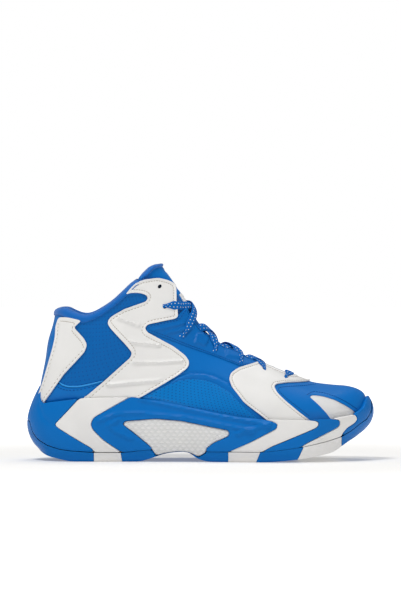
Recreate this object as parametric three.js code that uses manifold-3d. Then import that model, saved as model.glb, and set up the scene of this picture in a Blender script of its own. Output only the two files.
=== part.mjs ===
// Basketball high top, right foot, as an assembly of its real layers.
// Millimetres. +X points to the toe, +Z up, -Y is the outer (lateral) side.
import * as THREE from 'three';
import { mergeVertices } from 'three/addons/utils/BufferGeometryUtils.js';
import Module from 'manifold-3d';

const wasm = await Module();
wasm.setup();

// ---------------------------------------------------------------- driving dimensions
const SHOE_LENGTH = 305; // back of the heel to the front of the toe bumper
const SHOE_HEIGHT = 172.8; // ground to the top of the tongue
const FOREFOOT_WIDTH = 110.5; // across the ball of the sole
const OUTSOLE_WALL = 6; // how far the coloured sidewall pieces reach into the sole
const PANEL_THICKNESS = 1.6; // blue quarters and underlays
const OVERLAY_THICKNESS = 2.4; // white leather overlays
const LINING_THICKNESS = 2.2;
const COLLAR_FOAM = 6; // padding inside the ankle
const TONGUE_THICKNESS = 6.5;
const SOCKLINER_THICKNESS = 5;
const SHANK_THICKNESS = 1.6;
const LACE_DIAMETER = 3;
const THROAT_WIDTH = 27; // between the two eyestay edges
const COUNTER_THICKNESS = 1.2; // heel counter and toe puff
const SHANK_WIDTH = 34;
const COLLAR_BAND_HEIGHT = 3.4;
const PADDING_DEPTH = 40; // how far down from the collar the ankle foam reaches
const PADDING_FRONT = 84; // where the ankle foam ends, from the back of the heel
const PADDING_FRONT_HEIGHT = 147;
const BINDING_FRONT = 87; // where the collar binding ends
const LASTING_MARGIN = 9; // how far the panels tuck in below the biteline
const TONGUE_SPINE = 9; // half width of the thick middle of the tongue
const VAMP_SEAM = 188; // where the vamp lining meets the two quarter linings
const GAP = 0.3; // working clearance between touching pieces
const PANEL_INSIDE = GAP;
const UPPER_OUTSIDE = GAP + OVERLAY_THICKNESS;
const LACE_STEPS = 110;
const LACE_SIDES = 6;

// The pattern pieces are drawn at the master size and graded to the sizes above.
const MASTER_LENGTH = 305;
const MASTER_HEIGHT = 172.8;
const MASTER_WIDTH = 110.5;
const gradeX = SHOE_LENGTH / MASTER_LENGTH;
const gradeY = FOREFOOT_WIDTH / MASTER_WIDTH;
const gradeZ = SHOE_HEIGHT / MASTER_HEIGHT;

// ---------------------------------------------------------------- the lasted form
// One row per section from the toe to the top of the ankle:
// front/top point x z, sole/heel point x z, half widths outer and inner, widest-point skew.
const SECTIONS = [
  [297.5, 45.6, 297.5, 44.4, 0.6, 0.6, 0],
  [295.6, 56, 296, 34, 8.5, 10.5, 0.03],
  [290.5, 60.6, 290, 26, 18, 21.5, 0.05],
  [281, 63.4, 281, 21.5, 27.5, 31, 0.07],
  [267, 64.6, 267, 18, 37, 39, 0.09],
  [250, 67, 249, 16, 44, 43.5, 0.12],
  [233, 73, 227, 15, 46.5, 44.5, 0.14],
  [217, 80.5, 202, 15, 46, 42.5, 0.16],
  [202.5, 87.5, 176, 16, 43, 39, 0.18],
  [188, 95.5, 146, 18, 39.5, 36, 0.2],
  [173, 103.8, 112, 20, 37.5, 34.5, 0.2],
  [160.5, 113, 78, 22, 37, 35, 0.16],
  [151.5, 124, 44, 24, 36.5, 35.5, 0.1],
  [145, 135, 21, 30, 36.5, 35.5, 0.04],
  [139.8, 144, 11.5, 46, 36.5, 35.5, 0],
  [134, 153, 13.5, 66, 36.5, 35.5, 0],
  [127.8, 162, 17.5, 86, 36, 35.5, 0],
  [122, 170, 20.2, 104, 37, 36, 0],
  [117, 178, 25, 121, 38, 37, 0],
  [112, 187, 28, 140, 39, 38, 0],
  [107, 197, 30, 165, 39, 38, 0],
];
const TOP_ROUNDNESS = 2; // exponent of the section towards the instep
const SOLE_ROUNDNESS = 3; // exponent of the section towards the sole and the heel
const RING_STEPS = 18;
const FORM_STEPS = 20;

// ---------------------------------------------------------------- sole shape
const SOLE_PLAN = [
  [0, 0], [3.5, -17], [12, -29], [30, -38], [62, -42], [104, -41.5], [142, -44.5],
  [176, -51.5], [206, -56], [232, -56.5], [256, -51.5], [277, -40], [293, -24], [302, -9],
  [305, 4], [303, 17], [295, 30], [280, 42], [260, 50], [235, 54], [205, 53], [175, 46.5],
  [142, 40], [104, 38.5], [62, 41], [30, 37.5], [12, 29], [3.5, 17],
];
// Height, then how far the wall stands in from the plan at the sides, the heel and the toe.
const SOLE_WALL = [
  [0, 8, 13, 18],
  [4, 4.6, 13, 18],
  [9, 2.4, 11, 18],
  [14, 1.3, 6.4, 18],
  [19.5, 0.7, 3, 17],
  [25, 0.2, 0.9, 9.6],
  [33, 0, 0, 2.6],
  [41, 0.4, 1.1, 0.1],
  [49, 1, 3.6, 0.9],
  [57.5, 1.8, 7.2, 5.4],
  [66, 3, 11.6, 12],
];
const PLAN_STEPS = 46;
const SOLE_BOTTOM = [
  [-4, 26], [0.9, 25], [3, 19.4], [6.5, 13.7], [11.5, 8.8], [18.5, 4.9], [29, 2.2], [40, 0],
  [98, 0], [106, 1.9], [113.7, 4.6], [121, 7], [131, 8.6], [142, 8.2], [150, 3], [161, 0],
  [210, 0], [240, 3], [252.5, 5.2], [262, 7.1], [269.2, 9.5], [276, 13.4], [281.6, 16.9],
  [288.4, 20.5], [294.6, 24.3], [299.8, 29.2], [302.8, 33.9], [304.6, 38.3],
];
const PARTING_LINE = [
  [2.3, 34.8], [5.1, 25], [10, 18.7], [18.5, 13.7], [29.1, 10.5], [39.6, 9.1], [59.4, 7.9],
  [84, 7.9], [107.8, 10.4], [118, 11.8], [131, 12.6], [146, 11.6], [158, 8.8], [205, 8.8],
  [222, 10.4], [239.5, 13], [252, 15.4], [262.2, 17.6], [275.8, 21.4], [284.2, 26.1],
  [293, 32.7], [298.8, 36.2], [302.2, 42.5],
];
const BITELINE = [
  [-6, 66], [11.8, 66], [11.6, 60], [10.4, 49.4], [17.1, 51.4], [32.6, 53.5], [51.6, 56],
  [91.1, 56.7], [117.3, 53.6], [142.9, 48], [165, 43.3], [187, 39.6], [207.5, 37.7],
  [243.9, 37], [268.7, 37.5], [286.5, 40.2], [296.5, 46.5], [299.3, 56.6], [312, 56.6],
];

// ---------------------------------------------------------------- pattern outlines (x, z)
const HEEL_STRIPE = [
  [46, 60], [46, 55.3], [35, 43.5], [26.4, 34.4], [25, 32.5], [26, 30.8], [29.1, 28.5],
  [44, 19.4], [57.3, 11.6], [60, 4], [88, 4], [84.1, 8], [67.8, 19.4], [58.7, 28.5],
  [56.9, 32.7], [59.4, 38.4], [76, 48], [92.5, 57], [93, 60],
];
const ARCH_FRAME_FRONT = [
  [84.1, 8], [67.8, 19.4], [58.7, 28.5], [56.9, 32.7], [59.4, 38.4], [92.5, 57], [93, 62],
  [193, 44], [214, 36.3], [219.6, 33.6], [218.3, 29.7], [196.2, 18], [176.7, 8.8], [170, 2],
  [100, 2],
];
const ARCH_PANEL = [
  [84.4, 32.7], [86, 35.9], [99, 37], [113.7, 38.2], [135.7, 36.3], [165, 30.5], [176.7, 28.3],
  [178.1, 25.3], [176.7, 22.4], [163.5, 16.5], [157.6, 11.4], [156.2, 7], [147, 5], [113.7, 5],
  [107.8, 13.7], [96, 23.6],
];
const BALL_STRIPE = [
  [176.7, 8.8], [196.2, 18], [218.3, 29.7], [219.6, 33.6], [214, 36.3], [200, 44], [243.9, 44],
  [243.9, 37], [253.4, 36.3], [256, 34.1], [254.2, 30.5], [243.9, 26.1], [214.5, 14],
  [205.8, 8.8], [200, 2], [172, 2],
];
const BALL_CHEVRON = [
  [205.8, 8.8], [214.5, 14], [243.9, 26.1], [254.2, 30.5], [256, 34.1], [253.4, 36.3],
  [240, 46], [268.1, 46], [268.1, 37.4], [273.2, 36.7], [274.7, 34.1], [273.2, 30.5],
  [258.6, 23.2], [246.1, 17.2], [239.5, 12.1], [232, 2], [202, 2],
];
const TOE_STRIPE = [
  [239.5, 12.1], [246.1, 17.2], [258.6, 23.2], [273.2, 30.5], [274.7, 34.1], [273.2, 36.7],
  [266, 46], [287, 46], [287.8, 40.8], [290.4, 37], [287.8, 33.4], [280.5, 29], [276.9, 24.6],
  [275.8, 19], [262, 8], [240, 6],
];
// Where the outsole changes colour along its length: bottom x and top x of each joint.
const OUTSOLE_JOINTS = [
  [59.4, 59.4], [84.1, 82], [130, 130], [176.7, 176.7], [201, 206], [236, 242], [275.8, 275.8],
];

const ZIGZAG = [
  [86, 145.7], [90.2, 150.8], [94.8, 156.1], [101.6, 159.1], [113.8, 160.3], [122.2, 157.6],
  [127.5, 154.6], [129.3, 150.8], [129.8, 138.6], [131.6, 124.6], [120.6, 122.6],
  [105.4, 119.6], [103.1, 116.5], [105.4, 112.7], [128.2, 99.8], [138.9, 91.4], [142.3, 86.1],
  [141.2, 81.5], [132.1, 74.7], [101.2, 56.8], [84, 44], [38, 44], [51.6, 56], [69, 70.7],
  [91.4, 90.9], [92.7, 94.9], [88.7, 100.3], [73.8, 116.6], [71.1, 121.3], [73.8, 126.1],
  [85.3, 132.9], [104.7, 139.3], [106.2, 142.4], [103.9, 145.4], [97.8, 147.4], [90.2, 147.4],
];
const HEEL_OVERLAY = [
  [32.4, 128.6], [48, 124.4], [41.5, 118], [51.4, 107.1], [53.8, 101.7], [51.4, 95.6],
  [33.9, 76.3], [18.3, 53], [12, 43], [4, 43], [8, 49], [10.2, 57], [13.5, 68.2],
  [17.9, 84.1], [23, 97.6], [25, 108], [25, 119.2],
];
const SADDLE = [
  [196.7, 82.7], [185.3, 80], [178.9, 75.9], [177.4, 71.5], [179.6, 64.9], [190.6, 51.7],
  [208.2, 38.5], [222, 28], [258, 28], [245, 37.9], [226.7, 51.6], [219.1, 58.5],
  [216.1, 63.8], [217.6, 66.1], [226.7, 67.3], [249.6, 67.3], [254, 69.6], [256, 80],
  [214, 98], [204, 92],
];
const SIDE_PANEL = [
  [84, 36], [101.2, 56.8], [132.1, 74.7], [142.3, 86.1], [128.2, 99.4], [119.1, 107.9],
  [143.5, 98], [166.3, 89.6], [186.1, 81.9], [200, 70], [234, 30],
];
const EYESTAY = [
  [100, 110], [119.1, 108.3], [143.5, 98.5], [166.3, 90.1], [186.1, 82.5], [206.1, 81.3],
  [216, 92], [170, 140], [130.6, 128], [100, 124],
];
const UPPER_QUARTER = [
  [28, 68.4], [31.2, 67.3], [36.8, 65.2], [46.7, 65.5], [66.4, 70.1], [98, 80], [118, 116],
  [112, 150], [84, 152], [36, 134],
  [38, 120], [42, 100], [31, 80],
];
const LOWER_QUARTER = [
  [14, 40], [15, 50], [22, 61], [31.2, 66.9], [36.8, 64.8], [46.7, 65.1], [66.4, 69.7], [100, 76],
  [100, 40],
];
const TOE_WINDOW = [
  [247.2, 55.7], [250, 57.2], [259.6, 56], [269.2, 53.1], [278.8, 48.3], [286, 43.5],
  [292, 37], [284, 30], [268.7, 34], [262, 43], [254.9, 49.2],
];
const COLLAR_TOP = [
  [14, 132.2], [25.4, 131.8], [33.9, 133], [47.4, 127.8], [53, 127.3], [65, 132.2],
  [75.1, 138.9], [85.3, 147.7], [92, 153.8], [97.5, 158.5], [103.4, 159.6], [113.8, 160.3],
  [122.2, 157.6], [128.5, 153.6], [150, 153.6],
];
const EYELETS = [
  [120.6, 134.7], [138.1, 111.5], [164.8, 97.2], [187.5, 86.6], [207.5, 78.8], [227, 72.2],
];
const TONGUE_SIDE = [
  [238, 56], [200, 62], [160, 84], [136, 104], [118, 128], [108, 146], [101, 159.5],
  [110.9, 170], [113.5, 172.8], [140, 172.8], [238, 110],
];
const THROAT_FRONT = [
  [127, 175], [128.8, 152], [129.3, 138.6], [131.1, 125], [146, 116], [190, 150], [150, 200],
];
const THROAT = [
  [110, 190], [122, 158], [131, 138], [141, 120], [152, 106], [166, 94], [190, 80], [222, 67],
  [233, 66], [236, 90], [170, 200],
];
const HEEL_COUNTER = [[4, 30], [16, 96], [40, 92], [72, 60], [84, 40], [84, 30]];
const TOE_PUFF = [[272, 30], [266, 80], [310, 80], [310, 30]];
const HEEL_CUP_AREA = [[-6, -5], [70, -5], [70, 70], [-6, 70]];
const TOE_PIECE_AREA = [[260, 5], [320, 5], [320, 70], [260, 70]];
const TOE_CAP_AREA = [[214, 30], [214, 90], [312, 90], [312, 30]];
const BACKSTAY_AREA = [[-4, 44], [26, 44], [34, 140], [-4, 140]];
const JOINT_BEND = 13; // height at which an outsole joint turns upright
const FIRST_SHANK_X = 59;
const LAST_SHANK_X = 206;
// The parting line carried past the heel and the toe.
const PARTING = [[-6, 36], ...PARTING_LINE, [303.4, 50], [303.6, 62], [312, 62]];

// ---------------------------------------------------------------- small helpers
const graded = ([x, z]) => [x * gradeX, z * gradeZ];

/** Uniform Catmull-Rom through rows of numbers at position u (0 to rows - 1). */
function splineRow(rows, u) {
  const last = rows.length - 1;
  const i = Math.min(Math.floor(u), last - 1);
  const f = u - i;
  const at = (k) => rows[Math.max(0, Math.min(last, k))];
  return rows[i].map((_, c) => {
    const [a, b, d, e] = [at(i - 1)[c], at(i)[c], at(i + 1)[c], at(i + 2)[c]];
    const slope = (d - a) / 2;
    const nextSlope = (e - b) / 2;
    const cubic = 2 * b - 2 * d + slope + nextSlope;
    const square = -3 * b + 3 * d - 2 * slope - nextSlope;
    return ((cubic * f + square) * f + slope) * f + b;
  });
}

/** A point of the lasted form: u along the sections, angle round them. */
function formPoint(u, angle) {
  const [ix, iz, ex, ez, outer, inner, skew] = splineRow(SECTIONS, u);
  const along = -Math.cos(angle);
  const power = along < 0 ? TOP_ROUNDNESS : SOLE_ROUNDNESS;
  const reach = Math.pow(Math.max(0, 1 - Math.pow(Math.abs(along), power)), 1 / power);
  const side = Math.sin(angle) >= 0 ? -outer : inner;
  const share = (1 + along) / 2;
  return new THREE.Vector3(
    (ix + (ex - ix) * share) * gradeX,
    side * reach * (1 + skew * along) * gradeY,
    (iz + (ez - iz) * share) * gradeZ,
  );
}

/** The same point moved outwards by a distance along the surface normal. */
function offsetPoint(u, angle, distance) {
  const step = 0.02;
  const last = SECTIONS.length - 1;
  const along = formPoint(Math.min(u + step, last), angle)
    .sub(formPoint(Math.max(u - step, 0), angle));
  const round = formPoint(u, angle + step).sub(formPoint(u, angle - step));
  const normal = along.cross(round).normalize();
  return formPoint(u, angle).addScaledVector(normal, distance);
}

/** A closed solid from rings of points with a point at each end. */
function ringSolid(start, rings, end) {
  const count = rings[0].length;
  const points = [start, ...rings.flat(), end];
  const faces = [];
  for (let j = 0; j < count; j += 1) {
    const next = (j + 1) % count;
    faces.push(0, 1 + next, 1 + j);
    for (let i = 0; i + 1 < rings.length; i += 1) {
      const [a, b] = [1 + i * count + j, 1 + i * count + next];
      faces.push(a, b, a + count, b, b + count, a + count);
    }
    const base = 1 + (rings.length - 1) * count;
    faces.push(points.length - 1, base + j, base + next);
  }
  const geometry = new THREE.BufferGeometry();
  const numbers = points.flatMap((point) => [point.x, point.y, point.z]);
  geometry.setAttribute('position', new THREE.Float32BufferAttribute(numbers, 3));
  geometry.setIndex(faces);
  return toSolid(geometry);
}

/** A manifold solid from a closed geometry, turned right side out. */
function toSolid(geometry) {
  const bare = geometry.clone();
  bare.deleteAttribute('normal');
  bare.deleteAttribute('uv');
  const merged = mergeVertices(bare, 1e-4);
  const vertProperties = new Float32Array(merged.attributes.position.array);
  const triVerts = new Uint32Array(merged.index.array);
  const solid = new wasm.Manifold(new wasm.Mesh({ numProp: 3, vertProperties, triVerts }));
  if (solid.volume() > 0) return solid;
  for (let i = 0; i < triVerts.length; i += 3) {
    [triVerts[i], triVerts[i + 1]] = [triVerts[i + 1], triVerts[i]];
  }
  return new wasm.Manifold(new wasm.Mesh({ numProp: 3, vertProperties, triVerts }));
}

/** The largest connected body of a solid, so that no crumbs are left beside it. */
function largest(solid) {
  const bodies = solid.decompose();
  return bodies.reduce((best, body) => (body.volume() > best.volume() ? body : best));
}

/** A solid as a plain three.js geometry. */
function toGeometry(solid) {
  const mesh = solid.getMesh();
  const positions = new Float32Array(mesh.numVert * 3);
  for (let i = 0; i < mesh.numVert; i += 1) {
    for (let c = 0; c < 3; c += 1) positions[i * 3 + c] = mesh.vertProperties[i * mesh.numProp + c];
  }
  const geometry = new THREE.BufferGeometry();
  geometry.setAttribute('position', new THREE.BufferAttribute(positions, 3));
  geometry.setIndex(new THREE.BufferAttribute(new Uint32Array(mesh.triVerts), 1));
  return geometry;
}

/** An outline in x and z swept along y from low to high. */
function prism(outline, low, high) {
  const shape = new THREE.Shape(outline.map(([x, z]) => new THREE.Vector2(x, z)));
  const geometry = new THREE.ExtrudeGeometry(shape, { depth: high - low, bevelEnabled: false });
  geometry.rotateX(Math.PI / 2);
  geometry.translate(0, high, 0);
  return toSolid(geometry);
}

/** An outline grown outwards by a distance, with mitred corners. */
function grow(outline, distance) {
  const area = THREE.ShapeUtils.area(outline.map(([x, z]) => new THREE.Vector2(x, z)));
  const turn = Math.sign(area) * distance;
  return outline.map(([x, z], i) => {
    const [px, pz] = outline.at(i - 1);
    const [nx, nz] = outline[(i + 1) % outline.length];
    const before = new THREE.Vector2(z - pz, px - x).normalize();
    const after = new THREE.Vector2(nz - z, x - nx).normalize();
    const mitre = before.clone().add(after).normalize();
    const length = turn / Math.max(0.5, mitre.dot(before));
    return [x + mitre.x * length, z + mitre.y * length];
  });
}

/** A graded outline with every corner but the sharpest rounded by a spline. */
function soft(outline) {
  const curve = new THREE.CatmullRomCurve3(
    outline.map((point) => new THREE.Vector3(...graded(point), 0)), true, 'centripetal');
  return curve.getPoints(Math.round(outline.length * 1.25)).slice(0, -1).map((p) => [p.x, p.y]);
}

const raised = (line, rise) => line.map(([x, z]) => [x, z + rise]);
const WIDE = FOREFOOT_WIDTH; // further out than anything on either side
const SIDES = { outer: [-WIDE, -GAP / 2], inner: [GAP / 2, WIDE], both: [-WIDE, WIDE] };

// ---------------------------------------------------------------- shared bodies
/** The lasted form grown or shrunk by a distance, closed at the toe and at the top. */
function form(distance) {
  const last = SECTIONS.length - 1;
  const rings = [];
  for (let i = 0; i <= FORM_STEPS; i += 1) {
    const u = (i / FORM_STEPS) * last;
    const ring = [];
    for (let j = 0; j < RING_STEPS; j += 1) {
      ring.push(offsetPoint(u, (j / RING_STEPS) * 2 * Math.PI, distance));
    }
    rings.push(ring);
  }
  const middle = (ring) => ring.reduce((sum, p) => sum.add(p), new THREE.Vector3())
    .divideScalar(ring.length);
  const toe = middle(rings[0]);
  return ringSolid(toe, rings, middle(rings.at(-1)));
}

/** The layer of the upper between two distances from the lasted form. */
const layer = (inside, outside) => form(outside).subtract(form(inside));

/** The sole's plan swept up its wall profile, moved in by an inset. */
function soleWall(inset) {
  const plan = new THREE.CatmullRomCurve3(
    SOLE_PLAN.map(([x, y]) => new THREE.Vector3(x * gradeX, y * gradeY, 0)), true, 'centripetal');
  const rings = SOLE_WALL.map(([z, side, heel, toe]) => {
    const ring = [];
    for (let j = 0; j < PLAN_STEPS; j += 1) {
      const at = plan.getPoint(j / PLAN_STEPS);
      const tangent = plan.getTangent(j / PLAN_STEPS);
      const outward = new THREE.Vector3(-tangent.y, tangent.x, 0).multiplyScalar(-1);
      const end = outward.x * outward.x;
      const stand = side * (1 - end) + (outward.x < 0 ? heel : toe) * end;
      at.addScaledVector(outward, -stand - inset);
      ring.push(at.setZ(z * gradeZ));
    }
    return ring;
  });
  const cap = (ring) => new THREE.Vector3(SHOE_LENGTH / 2, 0, ring[0].z);
  return ringSolid(cap(rings[0]), rings, cap(rings.at(-1)));
}

/** Everything under the parting line or another line, raised by a distance. */
const below = (line, rise) => prism(
  [...raised(line.map(graded), rise), [SHOE_LENGTH + WIDE, -WIDE], [-WIDE, -WIDE]], ...SIDES.both);
/** A softened pattern outline as a cutter through one side or both. */
const cutBy = (outline, side, clearance) => prism(
  clearance ? grow(soft(outline), clearance) : soft(outline), ...SIDES[side]);

// ---------------------------------------------------------------- materials
const finish = (color, roughness, metalness = 0) => new THREE.MeshStandardMaterial(
  { color, roughness, metalness });
const blueLeather = () => finish(0x0a5fb8, 0.5);
const blueMesh = () => finish(0x0b58a8, 0.8);
const whiteLeather = () => finish(0xe4e2dc, 0.45);
const blueRubber = () => finish(0x0a5aae, 0.6);
const whiteRubber = () => finish(0xdfe0de, 0.55);
const whiteFoam = () => finish(0xe8e8e4, 0.7);
const blueLining = () => finish(0x0d4f98, 0.9);
const darkBoard = () => finish(0x2b2f36, 0.8);
const whiteMesh = () => finish(0xdadad4, 0.85);
const lacing = () => finish(0x1766bd, 0.85);

const shoe = new THREE.Group();
/** Adds one named piece to the shoe. */
function piece(name, solid, material) {
  const mesh = new THREE.Mesh(toGeometry(largest(solid)), material);
  mesh.name = name;
  shoe.add(mesh);
}

// ---------------------------------------------------------------- sole
/** The whole sole before it is divided, with the upper's bed cut out. */
function soleBody() {
  const profile = [...SOLE_BOTTOM, [312, 38.3], ...BITELINE.slice().reverse(), [-6, 26]];
  return soleWall(0)
    .intersect(prism(profile.map(graded), ...SIDES.both))
    .subtract(form(UPPER_OUTSIDE + GAP));
}

/** Blue and white rubber blocks of the outsole from heel to toe. */
function outsole(body, archCut) {
  const names = ['heel', 'heel_stripe', 'heel_front', 'ball_rear', 'ball_stripe', 'ball_front',
    'toe_stripe', 'toe'];
  const rubber = body.intersect(below(PARTING, 0)).subtract(archCut);
  names.forEach((name, i) => {
    const [fromBottom, fromTop] = i ? OUTSOLE_JOINTS[i - 1] : [-40, -40];
    const [toBottom, toTop] = i < OUTSOLE_JOINTS.length ? OUTSOLE_JOINTS[i] : [360, 360];
    const after = (x) => x * gradeX + GAP / 2;
    const before = (x) => x * gradeX - GAP / 2;
    const bend = JOINT_BEND * gradeZ;
    const outline = [[after(fromBottom), -1], [before(toBottom), -1], [before(toTop), bend],
      [before(toTop), WIDE], [after(fromTop), WIDE], [after(fromTop), bend]];
    const white = name.includes('stripe');
    piece(`outsole_${name}`, rubber.intersect(prism(outline, ...SIDES.both)),
      white ? whiteRubber() : blueRubber());
  });
}

/** Sidewall pieces of the midsole, cut in order so that each one meets the last. */
function midsoleSides(body, rim, rubberCut) {
  const wall = body.intersect(rim);
  const upperWall = wall.subtract(rubberCut);
  for (const side of ['outer', 'inner']) {
    const cut = (outline) => cutBy(outline, side, GAP);
    const arch = cut(ARCH_PANEL);
    piece(`arch_panel_${side}`, wall.intersect(cutBy(ARCH_PANEL, side, 0)), whiteFoam());
    piece(`midsole_heel_stripe_${side}`,
      upperWall.intersect(cutBy(HEEL_STRIPE, side, 0)).subtract(arch), whiteFoam());
    piece(`midsole_arch_frame_${side}`,
      upperWall.intersect(cutBy(ARCH_FRAME_FRONT, side, 0)).subtract(arch)
        .subtract(cut(HEEL_STRIPE)), blueRubber());
    piece(`midsole_ball_stripe_${side}`,
      upperWall.intersect(cutBy(BALL_STRIPE, side, 0)).subtract(cut(ARCH_FRAME_FRONT)), whiteFoam());
    piece(`midsole_ball_chevron_${side}`,
      upperWall.intersect(cutBy(BALL_CHEVRON, side, 0)).subtract(cut(BALL_STRIPE)), blueRubber());
    piece(`midsole_toe_stripe_${side}`,
      upperWall.intersect(cutBy(TOE_STRIPE, side, 0)).subtract(cut(BALL_CHEVRON)), whiteFoam());
  }
  const heelCup = HEEL_CUP_AREA.map(graded);
  piece('midsole_heel_cup', upperWall.intersect(prism(heelCup, ...SIDES.both))
    .subtract(cutBy(HEEL_STRIPE, 'both', GAP))
    .subtract(cutBy(ARCH_FRAME_FRONT, 'both', GAP)), blueRubber());
  const toe = TOE_PIECE_AREA.map(graded);
  piece('midsole_toe', upperWall.intersect(prism(toe, ...SIDES.both))
    .subtract(cutBy(TOE_STRIPE, 'both', GAP))
    .subtract(cutBy(BALL_CHEVRON, 'both', GAP)), blueRubber());
}

/** Stiff plate between the outsole and the foam, under the arch. */
function shankOutline(clearance) {
  const line = PARTING.filter(([x]) => x > FIRST_SHANK_X && x < LAST_SHANK_X).map(graded);
  const top = raised(line, GAP + SHANK_THICKNESS + clearance).reverse();
  return [...raised(line, GAP - clearance), ...top];
}
/** The foam inside the sidewalls, with the shank let into its underside. */
function soleInside(body, core, rubberCut) {
  const half = SHANK_WIDTH / 2;
  piece('shank_plate', prism(shankOutline(0), -half, half), darkBoard());
  const slot = prism(shankOutline(GAP * 0.99), -half - GAP, half + GAP);
  piece('midsole_core', body.intersect(core).subtract(rubberCut).subtract(slot), whiteFoam());
}

/** The whole sole, from the outsole up to the bed of the upper. */
function buildSole() {
  const body = soleBody();
  const rim = soleWall(-GAP).subtract(soleWall(OUTSOLE_WALL));
  const archCut = cutBy(ARCH_PANEL, 'both', GAP).intersect(
    soleWall(-GAP).subtract(soleWall(OUTSOLE_WALL + GAP)));
  outsole(body, archCut);
  const rubberCut = below(PARTING, GAP);
  midsoleSides(body, rim, rubberCut);
  soleInside(body, soleWall(OUTSOLE_WALL + GAP), rubberCut);
}

// ---------------------------------------------------------------- upper
const collar = COLLAR_TOP.map(graded);
const biteline = BITELINE.filter(([x]) => x > 17 && x < 297).map(graded);
const ends = (line) => [[-WIDE, line[0][1]], ...line, [SHOE_LENGTH + WIDE, line.at(-1)[1]]];
/** Everything under a line, across the whole shoe. */
const under = (line) => prism(
  [...ends(line), [SHOE_LENGTH + WIDE, -WIDE], [-WIDE, -WIDE]], ...SIDES.both);
/** The strip between a line and the same line lowered, back to front. */
const strip = (line, depth) => prism([...line, ...raised(line, -depth).reverse()], ...SIDES.both);

/** The opening over the instep, between the two rows of eyelets. */
function throat(clearance) {
  const half = THROAT_WIDTH / 2 + clearance;
  return prism(grow(THROAT.map(graded), clearance), -half, half)
    .add(prism(grow(THROAT_FRONT.map(graded), clearance), ...SIDES.both));
}

/** Where a side-view point lies on the lasted form: section position and angle. */
function onForm([x, z]) {
  const miss = (u) => {
    const [ix, iz, ex, ez] = splineRow(SECTIONS, u);
    return (ex - ix) * (z - iz) - (ez - iz) * (x - ix);
  };
  let [low, high] = [0, SECTIONS.length - 1];
  for (let i = 0; i < 40; i += 1) {
    const half = (low + high) / 2;
    if (miss(half) * miss(0) > 0) low = half;
    else high = half;
  }
  const [ix, iz, ex, ez] = splineRow(SECTIONS, low);
  const reach = (ex - ix) ** 2 + (ez - iz) ** 2;
  const share = ((x - ix) * (ex - ix) + (z - iz) * (ez - iz)) / reach;
  return [low, Math.acos(Math.max(-1, Math.min(1, 1 - 2 * share)))];
}

/** Route of the lace: out of each eyelet, over the tongue and under the far eyestay. */
function laceRoute() {
  const beneath = -LINING_THICKNESS - LACE_DIAMETER / 2 - GAP;
  const above = UPPER_OUTSIDE + LACE_DIAMETER / 2 + GAP;
  const at = ([u, angle], side, height) => offsetPoint(u, angle * side, height);
  const spots = EYELETS.map(onForm);
  const between = (i, k, share) => [
    spots[i][0] + (spots[k][0] - spots[i][0]) * share,
    (spots[i][1] + (spots[k][1] - spots[i][1]) * share),
  ];
  const strand = (start, lift) => {
    const points = [];
    let side = start;
    for (let i = 0; i + 1 < spots.length; i += 1) {
      const [uMid] = between(i, i + 1, 0.5);
      const [uNear, angle] = between(i, i + 1, 0.22);
      const [uFar, farAngle] = between(i, i + 1, 0.8);
      points.push(at(spots[i], side, above));
      points.push(at([uNear, angle * 0.55], side, above - 0.6));
      points.push(at([uMid, 0], side, lift));
      points.push(at([uFar, farAngle * 0.62], -side, beneath + 1.6));
      points.push(at([uFar + (spots[i + 1][0] - uFar) * 0.8, farAngle * 1.02], -side, beneath));
      side = -side;
    }
    points.push(at(spots.at(-1), side, above));
    return points;
  };
  const last = spots.at(-1);
  const ahead = [last[0] - 0.25, last[1]];
  const tuck = (side) => [
    at([spots[0][0] + 0.1, spots[0][1] * 1.35], side, beneath - 1),
    at([spots[0][0] + 0.05, spots[0][1] * 1.15], side, beneath),
  ];
  const low = LACE_DIAMETER / 2 - LINING_THICKNESS - GAP;
  const first = [...tuck(1), ...strand(1, low + 1.2)];
  const second = [...tuck(-1), ...strand(-1, low + 2 + LACE_DIAMETER + GAP)];
  const bar = [
    at([ahead[0], ahead[1] * 0.72], -1, above),
    at([ahead[0], 0], -1, above),
    at([ahead[0], ahead[1] * 0.72], 1, above),
  ];
  return [...first, ...bar, ...second.reverse()];
}

/** A round cord along the lace's route. */
function cord(radius) {
  const route = new THREE.CatmullRomCurve3(laceRoute(), false, 'centripetal');
  const section = new THREE.Shape().absarc(0, 0, radius, 0, 2 * Math.PI, false);
  return toSolid(new THREE.ExtrudeGeometry(section, {
    steps: LACE_STEPS, extrudePath: route, curveSegments: LACE_SIDES / 2, bevelEnabled: false }));
}

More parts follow.
